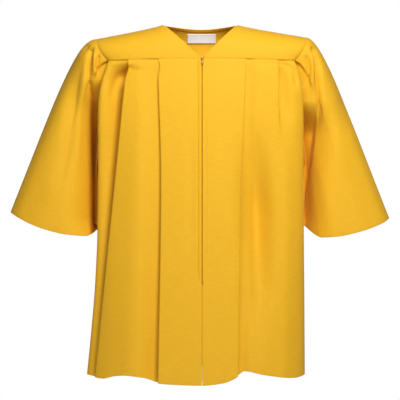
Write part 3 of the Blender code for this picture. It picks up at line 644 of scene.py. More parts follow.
def pleat_path(pleat, height):
    """The doubled cloth of a pleat: shifts along the body and inward, a row per height."""
    share_down = (height - FRONT_SEAM) / (HEM - FRONT_SEAM)
    grown = np.clip(share_down, 0, 1) ** FALL_GROWTH
    fall = pleat.fall_top + (pleat.fall_hem - pleat.fall_top) * grown
    fall = fall * ease((FRONT_SEAM - height) / FALL_CLEAR)
    held = np.clip((height - pleat.open_at) / (pleat.closed_to - pleat.open_at), 0, 1)[:, None]
    radius = layer(height)[:, None] / 2
    bend = math.pi * held
    run = pleat.tuck * held**2
    share = np.linspace(0, 1, TURN_STEPS + 1)[None, :]
    down = share * bend
    back = (1 - share) * bend
    first_x = radius * np.sin(down)
    first_in = radius * (1 - np.cos(down))
    second_x = radius * np.sin(bend) + run * np.cos(bend) + radius * (np.sin(bend) - np.sin(back))
    second_in = radius * (1 - np.cos(bend)) + run * np.sin(bend)
    second_in = second_in + radius * (np.cos(back) - np.cos(bend))
    furthest = radius * np.sin(np.minimum(bend, math.pi / 2))
    across = np.concatenate([first_x, second_x], axis=1) - furthest
    spread = np.linspace(-OPENED_SPREAD, OPENED_SPREAD, across.shape[1])[None, :] * pleat.tuck
    inward = np.concatenate([first_in, second_in + share * fall[:, None] * held], axis=1)
    return across + spread * (1 - held) ** 2, inward


def pleat_edge(pleat, height):
    """Where a pleat's fold edge lies across the body at each height."""
    places = [HEM, WAIST, FRONT_SEAM]
    hook = pleat.hook * np.exp(-(((height - HOOK_LEVEL) / HOOK_REACH) ** 2))
    return smooth_steps(places, [pleat.hem, pleat.waist, pleat.top], height) - hook


def crease_depth(creases, x, z):
    """How far the creases press the cloth in at the given places."""
    depth = np.zeros_like(x)
    for crease in creases:
        line = np.array(crease.line, float)
        heights = line[::-1, 1]
        centre = smooth_steps(heights, line[::-1, 0], z)
        lower = smooth_steps(heights, line[::-1, 0], z - 1)
        slope = centre - lower
        apart = (x - centre) / np.sqrt(1 + slope * slope)
        width = np.where(apart < 0, crease.before, crease.after)
        share = (heights[-1] - z) / (heights[-1] - heights[0])
        come = ease(share / crease.comes) if crease.comes else np.where(share < 0, 0.0, 1.0)
        go = ease((1 - share) / crease.goes) if crease.goes else 1.0
        depth = depth + crease.depth * np.exp(-((apart / width) ** 2)) * come * go
    return depth


def drift(x, z, seed):
    """Slight unevenness of hanging cloth, the same on every run."""
    waves = np.random.default_rng(seed).uniform(0, 2 * math.pi, 2 * WAVE_COUNT)
    total = np.zeros_like(x)
    for number in range(WAVE_COUNT):
        along = x * (WAVE_ACROSS + WAVE_ACROSS_STEP * number) + waves[number]
        down = z * (WAVE_DOWN + WAVE_DOWN_STEP * number) + waves[number + WAVE_COUNT]
        total = total + np.sin(along + WAVE_SWAY * np.sin(down)) * np.cos(down) / (1 + number)
    return total


def cloth_rows(side, heights, section_at, pleats, counts, start, turned_edge):
    """One half panel as lengths along the body and insets, for every height and column."""
    section = section_at(side, heights)
    running = lengths_along(section)
    total = running[:, -1]
    widest = np.argmax(section[:, :, 0], axis=1)
    to_side = running[np.arange(len(running)), widest]
    columns = []
    insets = []
    begin = start
    if turned_edge:
        radius = LAYER / 2 + 0 * start
        for share in EDGE_TURN_SHARES:
            columns.append(start + EDGE_TURN * share)
            insets.append(2 * radius)
        for angle in np.linspace(math.pi, 0, TURN_STEPS + 1):
            columns.append(start + radius * (1 - np.sin(angle)))
            insets.append(radius * (1 - math.cos(angle)))
        begin = start + radius
    sunk = np.zeros_like(start)
    reach = 1.0
    for number, (pleat, count) in enumerate(zip(pleats, counts)):
        edge = length_at_x(section, running, pleat_edge(pleat, heights))
        shift, inward = pleat_path(pleat, heights)
        first = edge + shift[:, 0]
        crowding = EDGE_CROWDING if turned_edge and number == 0 else 1.0
        for step in range(1 if columns else 0, count):
            share = (step / count) ** crowding
            columns.append(begin + (first - begin) * share)
            insets.append(sunk * (1 - ease((columns[-1] - begin) / reach)))
        for step in range(shift.shape[1]):
            columns.append(edge + shift[:, step])
            insets.append(inward[:, step])
        begin = edge + np.maximum(shift[:, -1], 0) + PLEAT_REST
        sunk = inward[:, -1]
        reach = np.clip(SIDE_FALL_REACH * (to_side - begin), LEAST_FALL_REACH, pleat.fall_reach)
        columns.append(begin)
        insets.append(sunk)
    for step in range(1, counts[-1] + 1):
        share = 1 - (1 - step / counts[-1]) ** SIDE_CROWDING
        columns.append(begin + (total - begin) * share)
        insets.append(sunk * (1 - ease((columns[-1] - begin) / reach)))
    return section, running, np.stack(columns, axis=1), np.stack(insets, axis=1)


def centre_start(height):
    """Where the fold of a front lies: parted at the slider and at the hem slit."""
    gap = np.where(height > ZIP_BOTTOM, EDGE_CLOSED, EDGE_BELOW)
    top = np.clip((height - PARTING_END) / (FRONT_SEAM - PARTING_END), 0, 1)
    slit = np.clip((HEM + HEM_SLIT - height) / HEM_SLIT, 0, 1)
    return gap + (EDGE_PARTING - EDGE_CLOSED) * top**PARTING_CURVE + SLIT_OPENING * slit


def front_hem_level(x):
    """The front hem's height at a place across the body."""
    return read_rows(FRONT_HEM, "x", "level", x)


def back_hem_level(x):
    """The back hem's height at a place across the body."""
    return BACK_HEM + BACK_HEM_WAVE * np.cos(x / HEM_WAVE_LENGTH)


def half_panel(side, rows, top, hem_level, section_at, pleats, counts, start_of, outward, turned,
               creases, extra):
    """Half a panel's middle surface with its creases, drawn down to its own hem level."""
    even = np.linspace(0, 1, rows)
    shares = np.concatenate([[-TUCK_UNDER / (top - HEM)], even**ROW_CROWDING])
    levels = top + (HEM - top) * shares
    section, running, columns, insets = cloth_rows(
        side, levels, section_at, pleats, counts, start_of(levels), turned
    )

    def placed(inward):
        flat = [
            at_length(section, running, columns[:, n], inward[:, n], outward)
            for n in range(columns.shape[1])
        ]
        return np.stack(flat, axis=1)

    plain = placed(insets)
    across = side.sign * plain[:, :, 0]
    down = top + (hem_level(across[-1]) - top)[None, :] * shares[:, None]
    pressed = crease_depth(creases, across, down) + extra(across, down)
    under = TUCK_DEPTH * (1 - ease((top - down) / TUCK_FADE))
    flat = placed(insets + pressed * ease((top - down) / CREASE_CLEAR) + under)
    return np.stack([side.sign * flat[:, :, 0], flat[:, :, 1], down], axis=2)


def front_unevenness(x, z):
    """Slight waves in a front, and the puckers beside the seam under the zip."""
    below = ease((ZIP_BOTTOM + PUCKER_START - z) / PUCKER_FADE)
    beside = np.exp(-((np.abs(x - ZIP_X) / PUCKER_REACH) ** 2)) * below
    turn = z / PUCKER_LENGTH + PUCKER_DRIFT * np.sin(z / PUCKER_DRIFT_LENGTH)
    pucker = PUCKER_DEPTH * np.sin(turn) * beside
    clear = ease((np.abs(x) - STILL_EDGE) / STILL_FADE)
    return FRONT_WAVES * drift(x, z, FRONT_SEED) * clear + pucker


def back_unevenness(x, z):
    """Slight waves in the back."""
    return BACK_WAVES * drift(x, z, BACK_SEED)


def front_points(side):
    """The middle surface of one front, down its rows and out from the centre."""

    def start_of(height):
        return centre_start(height) + side.sign * ZIP_X

    grid = half_panel(
        side, FRONT_ROWS, FRONT_SEAM, front_hem_level, front_section, FRONT_PLEATS[side.name],
        FRONT_COLUMNS, start_of, 1, True, FRONT_CREASES[side.name], front_unevenness,
    )
    sag = FRONT_SEAM_DIP * (np.abs(grid[0, :, 0]) / YOKE_CORNER) ** 2
    fade = np.linspace(1, 0, len(grid))[:, None] ** 2
    grid[:, :, 2] -= sag[None, :] * fade
    return grid


def back_points():
    """The middle surface of the back, from the wearer's right to the left."""
    halves = [
        half_panel(
            side, BACK_ROWS, BACK_SEAM, back_hem_level, back_section, BACK_PLEATS, BACK_COLUMNS,
            np.zeros_like, -1, False, BACK_CREASES, back_unevenness,
        )
        for side in (RIGHT, LEFT)
    ]
    return np.concatenate([halves[0][:, :0:-1], halves[1]], axis=1)


def ridge_height(side, x):
    """The shoulder line's height at a distance from the middle."""
    share = np.clip((x - side.neck) / (SHOULDER - side.neck), 0, 1)
    return side.shoulder_height * share**SHOULDER_BEND


def yoke_profile(drop, bulge):
    """How far out a yoke has come at a share of its drop."""
    return (1 - (1 - drop) ** bulge) ** (1 / bulge)


def front_yoke(side, x, share):
    """The front yoke's surface at places on the shoulder or neck line, down its shares."""
    x = np.asarray(x, float)
    ridge = ridge_height(side, x)
    seam_x = x - (SHOULDER - YOKE_CORNER) * (x / SHOULDER) ** 2
    section = front_section(side, FRONT_SEAM)[0]
    widest = int(np.argmax(section[:, 0])) + 1
    seam_y = np.interp(seam_x, section[:widest, 0], section[:widest, 1])
    seam = FRONT_SEAM - FRONT_SEAM_DIP * (seam_x / YOKE_CORNER) ** 2
    neck = np.where(x < side.neck, np.minimum(ridge, -NECK_V_DROP * (1 - x / side.neck)), ridge)
    neck = np.maximum(neck, seam + LEAST_YOKE)
    begin = np.arccos(1 - (ridge - neck) / (ridge - seam))
    angle = begin + (math.pi / 2 - begin) * np.asarray(share, float)[:, None]
    drop = 1 - np.cos(angle)
    across = x + (seam_x - x) * drop**2
    fore = seam_y * yoke_profile(drop, FRONT_YOKE_BULGE)
    return np.stack([side.sign * across, fore, ridge + (seam - ridge) * drop], axis=2)


def back_yoke(side, x, share):
    """The back yoke's surface on one side of the middle."""
    x = np.asarray(x, float)
    inner = np.maximum(0.0, 1 - (x / side.neck) ** 2)
    ridge = ridge_height(side, x) + NAPE_RISE * inner**NAPE_BEND
    seam_x = x - (SHOULDER - BACK_YOKE_CORNER) * (x / SHOULDER) ** 2
    section = back_section(side, BACK_SEAM)[0]
    seam_y = np.interp(seam_x, section[:, 0], section[:, 1])
    bulge = BACK_YOKE_BULGE + NAPE_BULGE * inner
    neck_y = NECK_BACK * np.sqrt(inner)
    begin = np.arccos((1 - (neck_y / seam_y) ** bulge) ** (1 / bulge))
    angle = begin + (math.pi / 2 - begin) * np.asarray(share, float)[:, None]
    drop = 1 - np.cos(angle)
    across = x + (seam_x - x) * drop**2
    rear = seam_y * yoke_profile(drop, bulge)
    return np.stack([side.sign * across, rear, ridge + (BACK_SEAM - ridge) * drop], axis=2)


def front_yoke_points(side):
    """The middle surface of one front yoke."""
    neck = np.linspace(0, side.neck, NECK_COLUMNS)
    neck = neck + (EDGE_PARTING + side.sign * ZIP_X) * (1 - neck / side.neck)
    shoulder = np.linspace(side.neck, SHOULDER, FRONT_SHOULDER_COLUMNS)[1:]
    return front_yoke(side, np.concatenate([neck, shoulder]), np.linspace(0, 1, YOKE_ROWS))


def back_yoke_points():
    """The middle surface of the back yoke, from the wearer's right to the left."""
    halves = []
    for side in (RIGHT, LEFT):
        neck = np.linspace(0, side.neck, NECK_COLUMNS)
        shoulder = np.linspace(side.neck, SHOULDER, BACK_SHOULDER_COLUMNS)[1:]
        places = np.concatenate([neck, shoulder])
        halves.append(back_yoke(side, places, np.linspace(0, 1, YOKE_ROWS)))
    return np.concatenate([halves[0][:, :0:-1], halves[1]], axis=1)


def even_spacing(loop, shares):
    """Points at the given shares of a closed loop's length."""
    closed = np.concatenate([loop, loop[:1]])
    steps = np.linalg.norm(np.diff(closed, axis=0), axis=1)
    running = np.concatenate([[0], np.cumsum(steps)]) / steps.sum()
    return points_at(shares, running, closed)


def armhole(side, shares):
    """The armhole's edge from the shoulder round the front, underarm and back."""
    drops = np.linspace(0, 1, YOKE_EDGE_STEPS)
    edge = np.array([SHOULDER])
    front_yoke_edge = front_yoke(side, edge, drops)[:, 0]
    back_yoke_edge = back_yoke(side, edge, drops[::-1])[:, 0]
    fore = np.linspace(FRONT_SEAM - FRONT_SEAM_DIP, UNDERARM, FORE_EDGE_STEPS)[1:]
    rear = np.linspace(UNDERARM, BACK_SEAM, REAR_EDGE_STEPS)[1:-1]
    fore_edge = front_section(side, fore)[:, -1]
    rear_edge = back_section(side, rear)[:, -1]
    front = np.stack([side.sign * fore_edge[:, 0], fore_edge[:, 1], fore], axis=1)
    back = np.stack([side.sign * rear_edge[:, 0], rear_edge[:, 1], rear], axis=1)
    return even_spacing(np.concatenate([front_yoke_edge, front, back, back_yoke_edge[:-1]]), shares)


def cuff(side, shares):
    """The sleeve's lower edge at the given shares of its way round."""
    left = 1 if side.sign > 0 else 0
    rows = [
        (side.sign * (row.out + left * row.left_out), row.fore, row.height + left * row.left_height)
        for row in CUFF
    ]
    rows = np.array(rows + rows[:1], float)
    places = np.linspace(0, 1, len(rows))
    wrapped = np.concatenate([places[:-1] - 1, places, places[1:] + 1])
    looped = np.concatenate([rows[:-1], rows, rows[1:]])
    dense = np.linspace(0, 1, ROUND_STEPS)[:-1]
    loop = np.stack([smooth_steps(wrapped, looped[:, axis], dense) for axis in range(3)], axis=1)
    return even_spacing(loop, shares)


def ridge_rise(ridge, turn, along):
    """How far a ridge lifts a sleeve's cloth at each place round and along it."""
    apart = (turn - ridge.turn + 0.5) % 1 - 0.5
    across = np.exp(-((apart / ridge.width) ** 2) * RIDGE_SHARPNESS)
    middle = (ridge.begins + ridge.ends) / 2
    half = (ridge.ends - ridge.begins) / 2
    reach = np.clip(1 - np.abs(along - middle) / half, 0, 1)
    rise = np.sin(reach * math.pi / 2) ** 1.5
    return ridge.height * across * rise * np.clip(along / RIDGE_START, 0, 1)


def smooth_round(loop, reach):
    """A closed loop with each point averaged with those near it."""
    tail = 3 * reach
    near = np.arange(-tail, tail + 1)
    weights = np.exp(-((near / reach) ** 2) / 2)
    weights /= weights.sum()
    ring = loop[:-1]
    padded = np.concatenate([ring[-tail:], ring, ring[:tail]])
    even = [np.convolve(padded[:, axis], weights, "valid") for axis in range(3)]
    smoothed = np.stack(even, axis=1)
    return np.concatenate([smoothed, smoothed[:1]])


def sleeve_points(side):
    """The middle surface of one sleeve, ring by ring from the armhole to the cuff."""
    even = np.linspace(0, 1, ROUND_STEPS)
    crowd = np.ones_like(even)
    for place in SLEEVE_CROWDS:
        crowd = crowd + place.extra * np.exp(-(((even - place.turn) / place.reach) ** 2))
    turns = np.interp(np.linspace(0, 1, SLEEVE_COLUMNS + 1), np.cumsum(crowd) / crowd.sum(), even)
    turns[0] = 0
    top = armhole(side, turns[:-1])
    low = cuff(side, turns[:-1])
    top = np.concatenate([top, top[:1]])
    low = np.concatenate([low, low[:1]])

    def shift(prefix, fullness):
        out = side.sign * read_rows(SLEEVE, "turn", prefix + "out", turns) * fullness
        fore = -read_rows(SLEEVE, "turn", prefix + "fore", turns)
        down = -read_rows(SLEEVE, "turn", prefix + "down", turns)
        return np.stack([out, fore, down], axis=1)

    over_cap = (1 + np.cos(2 * math.pi * turns)) / 2
    leave = shift("", 1 + (side.cap - 1) * over_cap)
    arrive = shift("cuff_", 1.0)
    gap = read_rows(SLEEVE, "turn", "gap", turns) * 0.5
    begin = top + leave * (gap / np.linalg.norm(leave, axis=1))[:, None]
    along = np.linspace(0, 1, SLEEVE_ROWS)
    along = ROW_EVENNESS * along + (1 - ROW_EVENNESS) * along**2
    leaving = smooth_round(top + leave, CORNER_REACH)
    lines = bezier(begin, leaving, low - arrive, low, SLEEVE_ROWS * 4)
    dense = np.linspace(0, 1, lines.shape[1])
    grid = np.empty((SLEEVE_ROWS, len(turns), 3))
    for column in range(len(turns)):
        grid[:, column] = points_at(along, dense, lines[column])
    outward = grid_normals(grid, True)
    down = along[:, None]
    depth = -ridge_rise(SLEEVE_RIDGE, turns[None, :], down)
    round_it = turns[None, :] * 2 * math.pi
    places = SLEEVE_SWING * np.cos(round_it) + SLEEVE_SWING / 2 * np.sin(2 * round_it)
    waves = drift(places, down * SLEEVE_DRIFT_LENGTH, SLEEVE_SEED + side.sign)
    depth = depth + SLEEVE_WAVES * waves * ease(down / SLEEVE_STILL)
    for creases, facing in (
        (SLEEVE_CREASES[side.name], -outward[:, :, 1]),
        (SLEEVE_BACK_CREASES[side.name], outward[:, :, 1]),
    ):
        seen = ease((facing + CREASE_EDGE) / CREASE_FACING) * ease(down / CREASE_START)
        depth = depth + seen * crease_depth(creases, grid[:, :, 0], grid[:, :, 2])
    grid = grid - outward * depth[:, :, None]
    for way, share in ((-1, 1.0), (1, BACK_RECESS)):
        clear = ease(way * outward[:, :, 1] / RECESS_FACING) * ease(down / RECESS_START) * share
        grid[:, :, 1] -= way * clear * recess_depth(RECESSES[side.name], grid)
    return grid


def recess_depth(recess, grid):
    """How far a sleeve falls back at each point, beside the body."""
    height = grid[:, :, 2]
    edge = smooth_steps(*zip(*recess.edge), height)
    inside = edge - np.abs(grid[:, :, 0])
    step = recess.step * ease(inside / recess.soft + 0.5)
    rounding = recess.round_off * np.clip(1 + inside / recess.round_reach, 0, 1) ** 2
    come = ease((recess.begins - height) / (recess.begins - recess.full))
    return (step + rounding) * come * ease((height - recess.ends) / RECESS_FADE)


def grid_normals(grid, closed=False):
    """The outward unit normal at each point of a grid of rows and columns."""
    down = np.gradient(grid, axis=0)
    across = np.gradient(grid, axis=1)
    if closed:
        across[:, 0] = across[:, -1] = grid[:, 1] - grid[:, -2]
    normal = np.cross(across, down)
    normal /= np.maximum(np.linalg.norm(normal, axis=2, keepdims=True), 1e-9)
    centre = grid.mean(axis=(0, 1)) if not closed else grid.mean(axis=1, keepdims=True)
    if not closed:
        centre = np.array([0.0, 0.0, centre[2]])
    facing = np.sign(((grid - centre) * normal).sum(axis=2).mean())
    return normal * facing


def turn_under(grid, outward, width, angle, radius=FOLD_RADIUS):
    """A grid and its normals with the cloth turned under along the last row."""
    edge = grid[-1]
    normal = outward[-1]
    travel = edge - grid[-2]
    travel -= normal * (travel * normal).sum(axis=1)[:, None]
    travel /= np.maximum(np.linalg.norm(travel, axis=1), 1e-9)[:, None]
    rows = [grid]
    normals = [outward]
    for bend in np.linspace(0, angle, HEM_TURN_STEPS)[1:]:
        sideways = travel * radius * math.sin(bend)
        rows.append((edge + sideways - normal * radius * (1 - math.cos(bend)))[None])
        normals.append((normal * math.cos(bend) + travel * math.sin(bend))[None])
    if angle < FLAT:
        heading = travel * math.cos(angle) - normal * math.sin(angle)
        last = rows[-1][0]
        for share in ALLOWANCE_SHARES:
            rows.append((last + heading * width * share)[None])
            normals.append(normals[-1])
        return np.concatenate(rows), np.concatenate(normals)
    for distance in np.linspace(0, width, HEM_TURN_STEPS)[1:]:
        line, facing = line_inside(grid, outward, distance)
        rows.append((line - facing * 2 * radius)[None])
        normals.append(-facing[None])
    return np.concatenate(rows), np.concatenate(normals)


def turn_first_row(grid, outward, width, angle):
    """The same along the first row."""
    grid, outward = turn_under(grid[::-1], outward[::-1], width, angle)
    return grid[::-1], outward[::-1]


def turn_last_column(grid, outward, width, angle):
    """The same along the last column."""
    grid, outward = turn_under(grid.swapaxes(0, 1), outward.swapaxes(0, 1), width, angle)
    return grid.swapaxes(0, 1), outward.swapaxes(0, 1)


def turn_first_column(grid, outward, width, angle):
    """The same along the first column."""
    grid, outward = turn_last_column(grid[:, ::-1], outward[:, ::-1], width, angle)
    return grid[:, ::-1], outward[:, ::-1]


def finish_piece(made, slot, body_name, *nodes):
    """Let a piece ride and stand for its node."""
    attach(made, body_name)
    if nodes:
        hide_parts(*nodes)
    return made


def add_object(name, mesh, surface):
    """A named object in the scene with one surface."""
    made = bpy.data.objects.new(name, mesh)
    made.data.materials.append(surface)
    bpy.context.scene.collection.objects.link(made)
    return made


def lay_grid(name, grid, outward, surface, thickness, closed=False):
    """A sheet of cloth through a grid's points, with its threads' places as its UV map."""
    rows, columns = grid.shape[:2]
    work = bmesh.new()
    work.loops.layers.uv.new("threads")
    bmesh.ops.create_grid(
        work, x_segments=columns - 1, y_segments=rows - 1, size=1, calc_uvs=True
    )
    mesh = bpy.data.meshes.new(name)
    work.to_mesh(mesh)
    work.free()
    flat = np.empty(len(mesh.vertices) * 3, np.float32)
    mesh.vertices.foreach_get("co", flat)
    flat = flat.reshape(-1, 3)
    column = np.rint((flat[:, 0] + 1) / 2 * (columns - 1)).astype(int)
    row = np.rint((flat[:, 1] + 1) / 2 * (rows - 1)).astype(int)
    mesh.vertices.foreach_set("co", (grid[row, column] * MM).astype(np.float32).ravel())
    across = np.linalg.norm(np.diff(grid, axis=1), axis=2).mean(axis=0)
    down = np.linalg.norm(np.diff(grid, axis=0), axis=2).mean(axis=1)
    u = np.concatenate([[0], np.cumsum(across)]) * MM
    v = np.concatenate([[0], np.cumsum(down)]) * MM
    corner = np.empty(len(mesh.loops), np.int32)
    mesh.loops.foreach_get("vertex_index", corner)
    places = np.stack([u[column[corner]], v[row[corner]]], axis=1)
    mesh.uv_layers[0].data.foreach_set("uv", places.astype(np.float32).ravel())
    work = bmesh.new()
    work.from_mesh(mesh)
    if closed:
        bmesh.ops.remove_doubles(work, verts=work.verts[:], dist=1e-6)
    work.normal_update()
    work.faces.ensure_lookup_table()
    middle = work.faces[len(work.faces) // 2]
    there = middle.calc_center_median() / MM
    nearest = np.argmin(np.linalg.norm(grid.reshape(-1, 3) - np.array(there), axis=1))
    if Vector(outward.reshape(-1, 3)[nearest]).dot(middle.normal) < 0:
        bmesh.ops.reverse_faces(work, faces=work.faces[:])
    work.to_mesh(mesh)
    work.free()
    made = add_object(name, mesh, surface)
    mesh.shade_smooth()
    wall = made.modifiers.new("cloth thickness", "SOLIDIFY")
    wall.thickness = thickness
    wall.offset = 0
    return made


def place_matrix(place, run, facing, sizes):
    """A matrix that sets a shape down at a place, along a run and facing out."""
    run = Vector(run).normalized()
    facing = Vector(facing)
    across = facing.cross(run).normalized()
    facing = run.cross(across)
    turn = Matrix((run, across, facing)).transposed().to_4x4()
    return Matrix.Translation(Vector(place)) @ turn @ Matrix.Diagonal((*sizes, 1))


def add_batch(work, batch):
    """Add a small shape to a large one, which is quicker than working in the large one."""
    mesh = bpy.data.meshes.new("batch")
    batch.to_mesh(mesh)
    batch.free()
    work.from_mesh(mesh)
    bpy.data.meshes.remove(mesh)
    return bmesh.new()


def sew(work, line, facing, pitch=STITCH_PITCH):
    """Sink a row of stitches into the cloth along a line."""
    steps = np.linalg.norm(np.diff(line, axis=0), axis=1)
    running = np.concatenate([[0], np.cumsum(steps)])
    batch = bmesh.new()
    for number, middle in enumerate(np.arange(pitch / 2, running[-1], pitch)):
        ahead = points_at(middle + STITCH_SIGHT, running, line)
        run = ahead - points_at(middle - STITCH_SIGHT, running, line)
        if np.linalg.norm(run) < 1e-6:
            continue
        out = points_at(middle, running, facing)
        lifted = points_at(middle, running, line) + out * STITCH_LIFT
        sizes = (pitch * STITCH_SHARE, THREAD, THREAD * THREAD_FLATNESS)
        matrix = place_matrix(lifted, run, out, sizes)
        bmesh.ops.create_uvsphere(batch, u_segments=6, v_segments=4, radius=1, matrix=matrix)
        if number % BATCH == BATCH - 1:
            batch = add_batch(work, batch)
    add_batch(work, batch).free()


def line_inside(grid, outward, distance, last=True):
    """The line at a distance in from a grid's last or first row, with its normals."""
    if last:
        grid = grid[::-1]
        outward = outward[::-1]
    running = lengths_down(grid)
    line = np.empty((grid.shape[1], 3))
    facing = np.empty_like(line)
    for column in range(grid.shape[1]):
        line[column] = points_at(distance, running[:, column], grid[:, column])
        facing[column] = points_at(distance, running[:, column], outward[:, column])
    return line, facing


def finish_mesh(name, work, surface):
    """An object from a shape worked in millimetres."""
    bmesh.ops.scale(work, vec=(MM, MM, MM), verts=work.verts[:])
    mesh = bpy.data.meshes.new(name)
    work.to_mesh(mesh)
    work.free()
    made = add_object(name, mesh, surface)
    mesh.shade_smooth()
    return made


def sew_piece(name, *lines):
    """One piece of stitching along several lines of places and normals."""
    work = bmesh.new()
    for line, facing in lines:
        sew(work, line, facing)
    made = finish_mesh(name, work, find_surface("sewing thread", thread))
    return finish_piece(made, "gown_fabric", GOWN_BODY)


def spread(nodes, links, value, low, high, from_low=0.3, from_high=0.7):
    """Draw a value out between two others."""
    made = nodes.new("ShaderNodeMapRange")
    made.inputs["From Min"].default_value = from_low
    made.inputs["From Max"].default_value = from_high
    made.inputs["To Min"].default_value = low
    made.inputs["To Max"].default_value = high
    links.new(value, made.inputs["Value"])
    return made.outputs["Result"]


def grain(nodes, links, scale, low, high):
    """A noise in Object places, drawn between two values."""
    place = nodes.new("ShaderNodeTexCoord")
    noise = nodes.new("ShaderNodeTexNoise")
    noise.inputs["Scale"].default_value = scale
    noise.inputs["Detail"].default_value = 3
    links.new(place.outputs["Object"], noise.inputs["Vector"])
    return spread(nodes, links, noise.outputs["Fac"], low, high)


def thread_places(nodes):
    """Places along and across the cloth's threads, in metres."""
    place = nodes.new("ShaderNodeUVMap")
    place.uv_map = "threads"
    return place.outputs["UV"]


def tinted(nodes, links, surface, colour, strength):
    """Colour a surface, lighter and darker by a strength."""
    tint = nodes.new("ShaderNodeVectorMath")
    tint.operation = "SCALE"
    tint.inputs[0].default_value = colour
    links.new(strength, tint.inputs["Scale"])
    links.new(tint.outputs["Vector"], surface.inputs["Base Color"])


def raised(nodes, links, surface, height, strength, distance):
    """Give a surface fine relief."""
    bump = nodes.new("ShaderNodeBump")
    bump.inputs["Strength"].default_value = strength
    bump.inputs["Distance"].default_value = distance
    links.new(height, bump.inputs["Height"])
    links.new(bump.outputs["Normal"], surface.inputs["Normal"])


def ribs(nodes, links, vector, direction, scale, distortion=0.3, detail=2):
    """Fine ribs of thread."""
    wave = nodes.new("ShaderNodeTexWave")
    wave.bands_direction = direction
    wave.inputs["Scale"].default_value = scale
    wave.inputs["Distortion"].default_value = distortion
    wave.inputs["Detail"].default_value = detail
    links.new(vector, wave.inputs["Vector"])
    return wave.outputs["Fac"]


def new_surface(name, roughness):
    """A surface to work on, with its nodes and links."""
    made = bpy.data.materials.new(name)
    made.use_nodes = True
    nodes = made.node_tree.nodes
    surface = nodes["Principled BSDF"]
    surface.inputs["Roughness"].default_value = roughness
    return made, nodes, made.node_tree.links, surface


def thread(name):
    """Twisted polyester thread in the gown's colour."""
    made, nodes, links, surface = new_surface(name, roughness=0.5)
    surface.inputs["Sheen Weight"].default_value = 0.2
    shade = grain(nodes, links, scale=900, low=0.86, high=1.04)
    tinted(nodes, links, surface, bpy.context.scene.gown.gown_colour, shade)
    return made


def label_weave(name):
    """White satin label cloth with a fine rib, bare."""
    made, nodes, links, surface = new_surface(name, roughness=0.55)
    surface.inputs["Sheen Weight"].default_value = 0.2
    shade = grain(nodes, links, scale=400, low=0.97, high=1.02)
    tinted(nodes, links, surface, bpy.context.scene.gown.label_colour, shade)
    rib = ribs(nodes, links, thread_places(nodes), "Y", scale=700)
    raised(nodes, links, surface, rib, strength=0.2, distance=0.0002)
    return made


def tape_weave(name):
    """Woven zip tape with fine slanting ribs."""
    made, nodes, links, surface = new_surface(name, roughness=0.75)
    surface.inputs["Sheen Weight"].default_value = 0.2
    shade = grain(nodes, links, scale=500, low=0.93, high=1.04)
    tinted(nodes, links, surface, bpy.context.scene.gown.tape_colour, shade)
    rib = ribs(nodes, links, thread_places(nodes), "DIAGONAL", scale=330)
    raised(nodes, links, surface, rib, strength=0.5, distance=0.0004)
    return made


def coil_plastic(name):
    """Satin nylon of the zip's coil."""
    made, nodes, links, surface = new_surface(name, roughness=0.38)
    shade = grain(nodes, links, scale=600, low=0.92, high=1.05)
    tinted(nodes, links, surface, bpy.context.scene.gown.coil_colour, shade)
    return made


def lacquered_metal(name, metallic, colour):
    """Die-cast metal under a gold lacquer, duller where hands rub it."""
    made, nodes, links, surface = new_surface(name, roughness=0.34)
    surface.inputs["Metallic"].default_value = metallic
    surface.inputs["Coat Weight"].default_value = 0.3
    surface.inputs["Coat Roughness"].default_value = 0.3
    shade = grain(nodes, links, scale=260, low=0.88, high=1.05)
    tinted(nodes, links, surface, colour, shade)
    rubbed = grain(nodes, links, scale=700, low=0.28, high=0.46)
    links.new(rubbed, surface.inputs["Roughness"])
    pits = grain(nodes, links, scale=1500, low=0.0, high=1.0)
    raised(nodes, links, surface, pits, strength=0.08, distance=0.0001)
    return made


def fabric(name, props):
    """Matte woven polyester with a faint slub across the cloth."""
    made, nodes, links, surface = new_surface(name, roughness=0.72)
    surface.inputs["Sheen Weight"].default_value = 0.1
    surface.inputs["Sheen Roughness"].default_value = 0.5
    surface.inputs["Sheen Tint"].default_value = (1.0, 0.85, 0.45, 1)
    surface.inputs["Specular IOR Level"].default_value = 0.3
    places = thread_places(nodes)

    def noise(across, down, detail):
        stretch = nodes.new("ShaderNodeMapping")
        stretch.inputs["Scale"].default_value = (across, down, 1)
        links.new(places, stretch.inputs["Vector"])
        cloud = nodes.new("ShaderNodeTexNoise")
        cloud.inputs["Scale"].default_value = 1
        cloud.inputs["Detail"].default_value = detail
        links.new(stretch.outputs["Vector"], cloud.inputs["Vector"])
        return cloud.outputs["Fac"]

    def join(kind, first, second):
        joined = nodes.new("ShaderNodeMath")
        joined.operation = kind
        links.new(first, joined.inputs[0])
        links.new(second, joined.inputs[1])
        return joined.outputs[0]

    slub = noise(across=60, down=900, detail=2)
    threads = spread(nodes, links, slub, 1 - props.slub_contrast, 1 + props.slub_contrast)
    cloudy = spread(nodes, links, noise(across=9, down=14, detail=1), 0.985, 1.015, 0, 1)
    tinted(nodes, links, surface, props.gown_colour, join("MULTIPLY", threads, cloudy))
    weave = join("ADD", *(
        ribs(nodes, links, places, way, scale=400, distortion=0.6, detail=1) for way in ("X", "Y")
    ))
    fainter = nodes.new("ShaderNodeMath")
    fainter.operation = "MULTIPLY"
    links.new(weave, fainter.inputs[0])
    fainter.inputs[1].default_value = 0.25
    relief = join("ADD", fainter.outputs[0], slub)
    raised(nodes, links, surface, relief, strength=props.slub_relief, distance=0.0004)
    return made


def find_surface(name, make, *given):
    """The surface of that name, made once."""
    return bpy.data.materials.get(name) or make(name, *given)


def gown_fabric():
    """The gown's own fabric."""
    return find_surface("gown fabric", fabric, bpy.context.scene.gown)


def cloth_thickness():
    """How thick the cloth is, in metres."""
    return bpy.context.scene.gown.cloth_thickness


